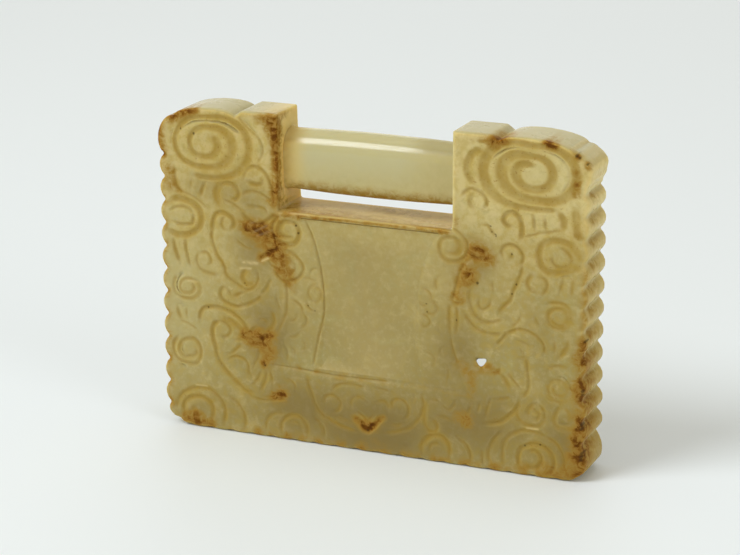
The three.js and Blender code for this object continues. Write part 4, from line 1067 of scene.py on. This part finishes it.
# Paints stains, specks and scratches, and the painted shade, sheen, glow and highlights
def paintAgeAndLight(piece):
    places = placesOf(piece)
    x, z = places[:, 0], places[:, 2]
    normals = normalsOf(piece)
    onFront = 1 - smoothStep(carving["full"], carving["fade"], places[:, 1] - carving["front"])
    blurred, around = (spreadMap(*dirtAndShadeSpread[key]) for key in ("near", "around"))
    cut = dirtAndShadeSpread["own"] * sampled(depthMap, x, z) + dirtAndShadeSpread["blurred"] * sampled(blurred, x, z)
    tops = browner["tops"] + browner["across"] * x
    slotFloor = browner["slotFloor"] * (z > browner["slotAbove"])
    brown = np.where(z > cleanAndPaintedLightPlaces["tops"]["above"], tops, slotFloor)
    for name, values in (
        ("cutDepth", onFront * cut / carving["deepest"]),
        ("cutNear", onFront * sampled(around, x, z) / carving["deepest"]),
        ("stain", stainOn(places)),
        ("speck", specksOn(places)),
        ("scratchAndGlint", scratchesAndGlintsOn(places)),
        # broad tone with painted shade, and painted shade on faces that look up
        ("depth", toneAndShadeOn(places) + smoothStep(*upwards, normals[:, 2]) * brown),
        # clean stone on the bar, with painted sheen, glow and highlights
        ("clean", cleanAndPaintedLightOn(places, normals[:, 2])),
        ("warm", warmOn(places, normals)),
    ):
        paint(piece, name, values)


paintAgeAndLight(carvedJade)
print("stone aged")

# Materials. The stone's texture is laid out in mm of the object's own coordinates.


def addNode(tree, kind, **settings):
    node = tree.nodes.new(kind)
    for key, value in settings.items():
        setattr(node, key, value)
    return node


def feed(tree, socket, value):
    # value is a socket or a plain value
    if isinstance(value, bpy.types.NodeSocket):
        tree.links.new(value, socket)
    elif isinstance(value, tuple) and len(value) == 3 and socket.type == "RGBA":
        socket.default_value = (*value, 1)
    else:
        socket.default_value = value


def mixColours(tree, share, first, second):
    node = addNode(tree, "ShaderNodeMix", data_type="RGBA", clamp_factor=True)
    for index, value in ((0, share), (6, first), (7, second)):
        feed(tree, node.inputs[index], value)
    return node.outputs[2]


def calculate(tree, operation, *values, clamp=False):
    node = addNode(tree, "ShaderNodeMath", operation=operation, use_clamp=clamp)
    for socket, value in zip(node.inputs, values):
        feed(tree, socket, value)
    return node.outputs[0]


def remap(tree, value, low, high, toLow=0.0, toHigh=1.0):
    node = addNode(tree, "ShaderNodeMapRange", interpolation_type="SMOOTHSTEP")
    for socket, number in zip(node.inputs, (value, low, high, toLow, toHigh)):
        feed(tree, socket, number)
    return node.outputs[0]


def stretched(tree, place, scale, turn=0.0):
    node = addNode(tree, "ShaderNodeMapping")
    node.inputs["Rotation"].default_value = (0.0, turn, 0.0)
    node.inputs["Scale"].default_value = scale
    tree.links.new(place, node.inputs["Vector"])
    return node.outputs["Vector"]


# Noises in the stone: scale in cycles per mm, detail, roughness and distortion

noises = {
    "broad": (0.07, 3.0, 0.55, 0.4),
    "cloud": (0.18, 4.0, 0.6, 0.8),
    "grain": (0.9, 3.0, 0.6, 0.0),
    "blotch": (0.42, 4.0, 0.65, 0.5),
    "patchyGrime": (0.35, 3.0, 0.6, 0.0),
    "grimeDots": (2.4, 2.0, 0.5, 0.0),
    "raggedStain": (0.9, 4.0, 0.65, 0.8),
    "stainStrokes": (0.6, 3.0, 0.6, 0.0),
    "polishPatches": (0.22, 3.0, 0.6, 0.0),
    "polishWaves": (0.28, 2.0, 0.5, 0.0),
    "polishGrain": (2.6, 4.0, 0.6, 0.0),
    "polishScratches": (1.6, 3.0, 0.7, 0.0),
}


def noise(tree, vector, name):
    node = addNode(tree, "ShaderNodeTexNoise")
    tree.links.new(vector, node.inputs["Vector"])
    for key, value in zip(("Scale", "Detail", "Roughness", "Distortion"), noises[name]):
        node.inputs[key].default_value = value
    return node.outputs["Fac"]


socketKinds = {"Place": "Vector", "Colour": "Color"}  # the others are plain numbers


def newGroup(name, takes, gives):
    tree = bpy.data.node_groups.new(name, "ShaderNodeTree")
    for direction, labels in (("INPUT", takes), ("OUTPUT", gives)):
        for label in labels:
            kind = "NodeSocket" + socketKinds.get(label, "Float")
            tree.interface.new_socket(label, in_out=direction, socket_type=kind)
    return tree, tree.nodes.new("NodeGroupInput").outputs, tree.nodes.new("NodeGroupOutput").inputs


jadeColours = {
    "clean": (0.515, 0.462, 0.235),
    "pale": (0.545, 0.442, 0.188),
    "body": (0.350, 0.281, 0.107),
    "green": (0.400, 0.360, 0.160),
    "brown": (0.238, 0.172, 0.057),
    "halo": (0.430, 0.305, 0.062),
    "paintedGlow": (0.700, 0.595, 0.290),
    "blush": (0.610, 0.485, 0.228),
    "olive": (0.325, 0.260, 0.080),
    "warm": (0.820, 0.575, 0.160),
    "grimeAndShade": (0.385, 0.250, 0.045),
    "amber": (0.350, 0.215, 0.040),
    "rust": (0.255, 0.112, 0.012),
    "darkRust": (0.120, 0.042, 0.004),
    "black": (0.060, 0.035, 0.012),
}


def tint(tree, colour, value, how, within=None):
    # how is the range of the value that brings a colour in, the most that is mixed in, and its name
    low, high, most, name = how
    share = remap(tree, value, low, high, 0.0, most)
    if within is not None:
        share = calculate(tree, "MULTIPLY", share, within)
    return mixColours(tree, share, colour, jadeColours[name])


# Cloudy yellow-green stone, with painted glow that makes it paler towards the top, at the left side and on
# the right shoulder; paler where it is clean and browner where its tone and painted shade are deep

jadeCloud = {
    "wave": 20.0,                           # how unevenly the stone gets paler upwards
    # painted glow: paler towards the top and towards the left side
    "paler": (12.0, 56.0),
    "paintedGlowAside": (-22.0, -34.0, 0.0, 0.2),
    "greenClouds": (0.50, 0.72, 0.5, "green"),
    "paleClouds": (0.48, 0.30, 0.35, "pale"),
    # painted glow on the right shoulder
    "rightShoulder": (8.0, 22.0, 0.8, "paintedGlow"),
    "shoulderHeight": (36.0, 46.0),
    "panel": (17.0, 12.0),                  # blotches fade inside it and where the stone is clean
    "panelHeight": (12.0, 16.0, 0.0, -0.5),
    "cleanLess": -0.7,
    "blushBlotches": (0.52, 0.70, 0.38, "blush"),
    "oliveBlotches": (0.48, 0.30, 0.45, "olive"),
    "yellowGrain": (0.40, 0.70, 0.5, "halo"),
    "blushGrain": (0.50, 0.30, 0.25, "blush"),
    "uneven": 0.35,                         # how unevenly it gets browner where it looks deep
    "deep": (0.05, 0.95, 0.9, "brown"),
}


def buildJadeCloud():
    tree, takes, gives = newGroup("jadeCloud", ("Place", "Deep", "Clean", "Warm"), ("Colour",))
    axes = addNode(tree, "ShaderNodeSeparateXYZ")
    tree.links.new(takes["Place"], axes.inputs[0])
    x, z = axes.outputs["X"], axes.outputs["Z"]
    broad, cloud, grain, blotch = (
        noise(tree, takes["Place"], name) for name in ("broad", "cloud", "grain", "blotch")
    )
    # painted glow, rising unevenly towards the top and towards the left side
    wave = calculate(tree, "MULTIPLY_ADD", broad, jadeCloud["wave"], -jadeCloud["wave"] / 2)
    paler = remap(tree, calculate(tree, "ADD", z, wave), *jadeCloud["paler"])
    paler = calculate(tree, "ADD", paler, remap(tree, x, *jadeCloud["paintedGlowAside"]), clamp=True)
    colour = mixColours(tree, paler, jadeColours["body"], jadeColours["pale"])
    for name in ("greenClouds", "paleClouds"):
        colour = tint(tree, colour, cloud, jadeCloud[name])
    # painted glow on the right shoulder
    colour = tint(tree, colour, x, jadeCloud["rightShoulder"], remap(tree, z, *jadeCloud["shoulderHeight"]))
    panel = remap(tree, calculate(tree, "ABSOLUTE", x), *jadeCloud["panel"])
    panel = calculate(tree, "MULTIPLY", panel, remap(tree, z, *jadeCloud["panelHeight"]))
    dirt = calculate(tree, "MULTIPLY_ADD", takes["Clean"], jadeCloud["cleanLess"], 1.0)
    dirt = calculate(tree, "MULTIPLY_ADD", panel, dirt, dirt)
    for value, name in ((blotch, "blushBlotches"), (blotch, "oliveBlotches"), (grain, "yellowGrain")):
        colour = tint(tree, colour, value, jadeCloud[name], dirt)
    colour = tint(tree, colour, grain, jadeCloud["blushGrain"])
    # browner where the broad tone and painted shade are strong
    uneven = calculate(tree, "SUBTRACT", broad, 0.5)
    deep = calculate(tree, "MULTIPLY_ADD", uneven, jadeCloud["uneven"], takes["Deep"])
    colour = tint(tree, colour, deep, jadeCloud["deep"])
    # pale clean stone with painted sheen, glow and highlights, then painted glow
    for label, name in (("Clean", "clean"), ("Warm", "warm")):
        colour = mixColours(tree, takes[label], colour, jadeColours[name])
    tree.links.new(colour, gives["Colour"])
    return tree


# Old dirt and oil left in the grooves, with painted shade in and around them

grimeAndShadeInCuts = {
    "patchy": (0.30, 0.62, 0.45, 1.0),
    "inCuts": (0.03, 0.60),
    "most": 0.7,
    "nearCuts": (0.02, 0.40, 0.5, "halo"),
    "dots": (0.62, 0.72, 0.45, "rust"),
    "dotsNear": (0.05, 0.30),
}


def buildGrimeAndShadeInCuts():
    tree, takes, gives = newGroup("grimeAndShadeInCuts", ("Place", "Colour", "Depth", "Near"), ("Colour",))
    patchy = remap(tree, noise(tree, takes["Place"], "patchyGrime"), *grimeAndShadeInCuts["patchy"])
    inCuts = remap(tree, takes["Depth"], *grimeAndShadeInCuts["inCuts"])
    amount = calculate(tree, "MULTIPLY", inCuts, patchy, clamp=True)
    amount = calculate(tree, "MULTIPLY", amount, grimeAndShadeInCuts["most"])
    # dirt and painted shade near the cuts, then in them
    colour = tint(tree, takes["Colour"], takes["Near"], grimeAndShadeInCuts["nearCuts"])
    colour = mixColours(tree, amount, colour, jadeColours["grimeAndShade"])
    dots = noise(tree, takes["Place"], "grimeDots")
    dotsNear = remap(tree, takes["Near"], *grimeAndShadeInCuts["dotsNear"])
    colour = tint(tree, colour, dots, grimeAndShadeInCuts["dots"], dotsNear)
    tree.links.new(colour, gives["Colour"])
    return tree


# Rust-brown stains with ragged edges, black specks, and pale scratches with painted highlights

ironStain = {
    "ragged": 0.7,
    "strokes": 0.3,
    "stretch": (0.6, 1.0, 2.2),
    "turn": 0.55,
    "edge": (0.38, 0.62, 0.60, 1.35),
    "everywhere": 0.9,
    "inCuts": 0.5,
    "amber": (0.02, 0.50, 0.95, "amber"),
    "rust": (0.35, 0.90, 0.95, "rust"),
    "darkRust": (0.66, 1.10, 0.9, "darkRust"),
    "speck": (0.25, 0.8, 0.7, "black"),
}


def buildIronStain():
    tree, takes, gives = newGroup(
        "ironStain", ("Place", "Colour", "Stain", "Speck", "Scratch", "Depth"), ("Colour",)
    )
    ragged = noise(tree, takes["Place"], "raggedStain")
    ragged = calculate(tree, "MULTIPLY", ragged, ironStain["ragged"])
    along = stretched(tree, takes["Place"], ironStain["stretch"], ironStain["turn"])
    strokes = noise(tree, along, "stainStrokes")
    ragged = calculate(tree, "MULTIPLY_ADD", strokes, ironStain["strokes"], ragged)
    amount = calculate(tree, "MULTIPLY", takes["Stain"], remap(tree, ragged, *ironStain["edge"]))
    deeper = calculate(tree, "MULTIPLY_ADD", takes["Depth"], ironStain["inCuts"], ironStain["everywhere"])
    amount = calculate(tree, "MULTIPLY", amount, deeper)
    colour = takes["Colour"]
    for name in ("amber", "rust", "darkRust"):
        colour = tint(tree, colour, amount, ironStain[name])
    colour = tint(tree, colour, takes["Speck"], ironStain["speck"])
    # pale scratches and painted highlights
    colour = mixColours(tree, takes["Scratch"], colour, jadeColours["blush"])
    tree.links.new(colour, gives["Colour"])
    return tree


# A soft old polish, duller in the cuts, with fine scratches and pits

wornPolish = {
    "patches": (0.30, 0.70, 0.16, 0.30),  # range of the noise, and the roughness at each end
    "inCuts": 0.25,
    "grain": 0.12,
    "stretch": (0.25, 1.0, 6.0),
    "turn": 0.6,
    "scratches": (0.62, 0.75),
    "scratchHeight": -0.05,
    "coat": {"Clean": (0.55, 1.0, 0.05, 0.65), "Depth": (0.0, 0.4, 1.0, 0.2), "Stain": (0.1, 0.6, 1.0, 0.3)},
}


def buildWornPolish():
    tree, takes, gives = newGroup(
        "wornPolish", ("Place", "Depth", "Clean", "Stain"), ("Roughness", "Height", "Coat")
    )
    patches, waves, grain = (
        noise(tree, takes["Place"], name) for name in ("polishPatches", "polishWaves", "polishGrain")
    )
    roughness = remap(tree, patches, *wornPolish["patches"])
    roughness = calculate(tree, "MULTIPLY_ADD", takes["Depth"], wornPolish["inCuts"], roughness)
    roughness = calculate(tree, "MULTIPLY_ADD", grain, wornPolish["grain"], roughness, clamp=True)
    along = stretched(tree, takes["Place"], wornPolish["stretch"], wornPolish["turn"])
    scratches = remap(tree, noise(tree, along, "polishScratches"), *wornPolish["scratches"])
    height = calculate(tree, "MULTIPLY_ADD", grain, wornPolish["grain"], waves)
    height = calculate(tree, "MULTIPLY_ADD", scratches, wornPolish["scratchHeight"], height)
    clean, depth, stain = (remap(tree, takes[label], *how) for label, how in wornPolish["coat"].items())
    shine = calculate(tree, "MULTIPLY", calculate(tree, "MULTIPLY", clean, depth), stain)
    for label, source in (("Coat", shine), ("Roughness", roughness), ("Height", height)):
        tree.links.new(source, gives[label])
    return tree


def useGroup(tree, group, **values):
    node = addNode(tree, "ShaderNodeGroup", node_tree=group)
    for label, value in values.items():
        feed(tree, node.inputs[label], value)
    return node.outputs


# How the whole stone takes light

agedJade = {
    "Coat Roughness": 0.14,
    "Coat IOR": 1.6,
    "IOR": 1.6,
    "Specular IOR Level": 0.02,
    "Subsurface Weight": 1.0,
    "Subsurface Radius": (1.0, 0.88, 0.7),
    "Subsurface Scale": 1.7 * mm,
}
pits = {"Strength": 0.25, "Distance": 0.1 * mm}


def buildAgedJade():
    jade = bpy.data.materials.new("agedJade")
    jade.use_nodes = True
    tree = jade.node_tree
    shader = tree.nodes["Principled BSDF"]
    place = stretched(tree, addNode(tree, "ShaderNodeTexCoord").outputs["Object"], (1 / mm, 1 / mm, 1 / mm))
    depth, near, stain, speck, scratchAndGlint, deep, clean, warm = (
        addNode(tree, "ShaderNodeAttribute", attribute_name=name).outputs["Fac"]
        for name in ("cutDepth", "cutNear", "stain", "speck", "scratchAndGlint", "depth", "clean", "warm")
    )
    colour = useGroup(tree, buildJadeCloud(), Place=place, Deep=deep, Clean=clean, Warm=warm)["Colour"]
    colour = useGroup(tree, buildGrimeAndShadeInCuts(), Place=place, Colour=colour, Depth=depth, Near=near)["Colour"]
    colour = useGroup(tree, buildIronStain(), Place=place, Colour=colour, Stain=stain, Speck=speck,
                      Scratch=scratchAndGlint, Depth=depth)["Colour"]
    polish = useGroup(tree, buildWornPolish(), Place=place, Depth=depth, Clean=clean, Stain=stain)
    bump = addNode(tree, "ShaderNodeBump")
    for node, values in ((shader, agedJade), (bump, pits)):
        for label, value in values.items():
            node.inputs[label].default_value = value
    tree.links.new(polish["Height"], bump.inputs["Height"])
    normal = bump.outputs["Normal"]
    for label, source in (("Base Color", colour), ("Roughness", polish["Roughness"]), ("Normal", normal),
                          ("Coat Weight", polish["Coat"]), ("Coat Normal", normal)):
        tree.links.new(source, shader.inputs[label])
    return jade


carvedJade.data.materials.clear()
carvedJade.data.materials.append(buildAgedJade())
print("materials made")

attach(carvedJade, "root")
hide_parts(*stone["nodes"])
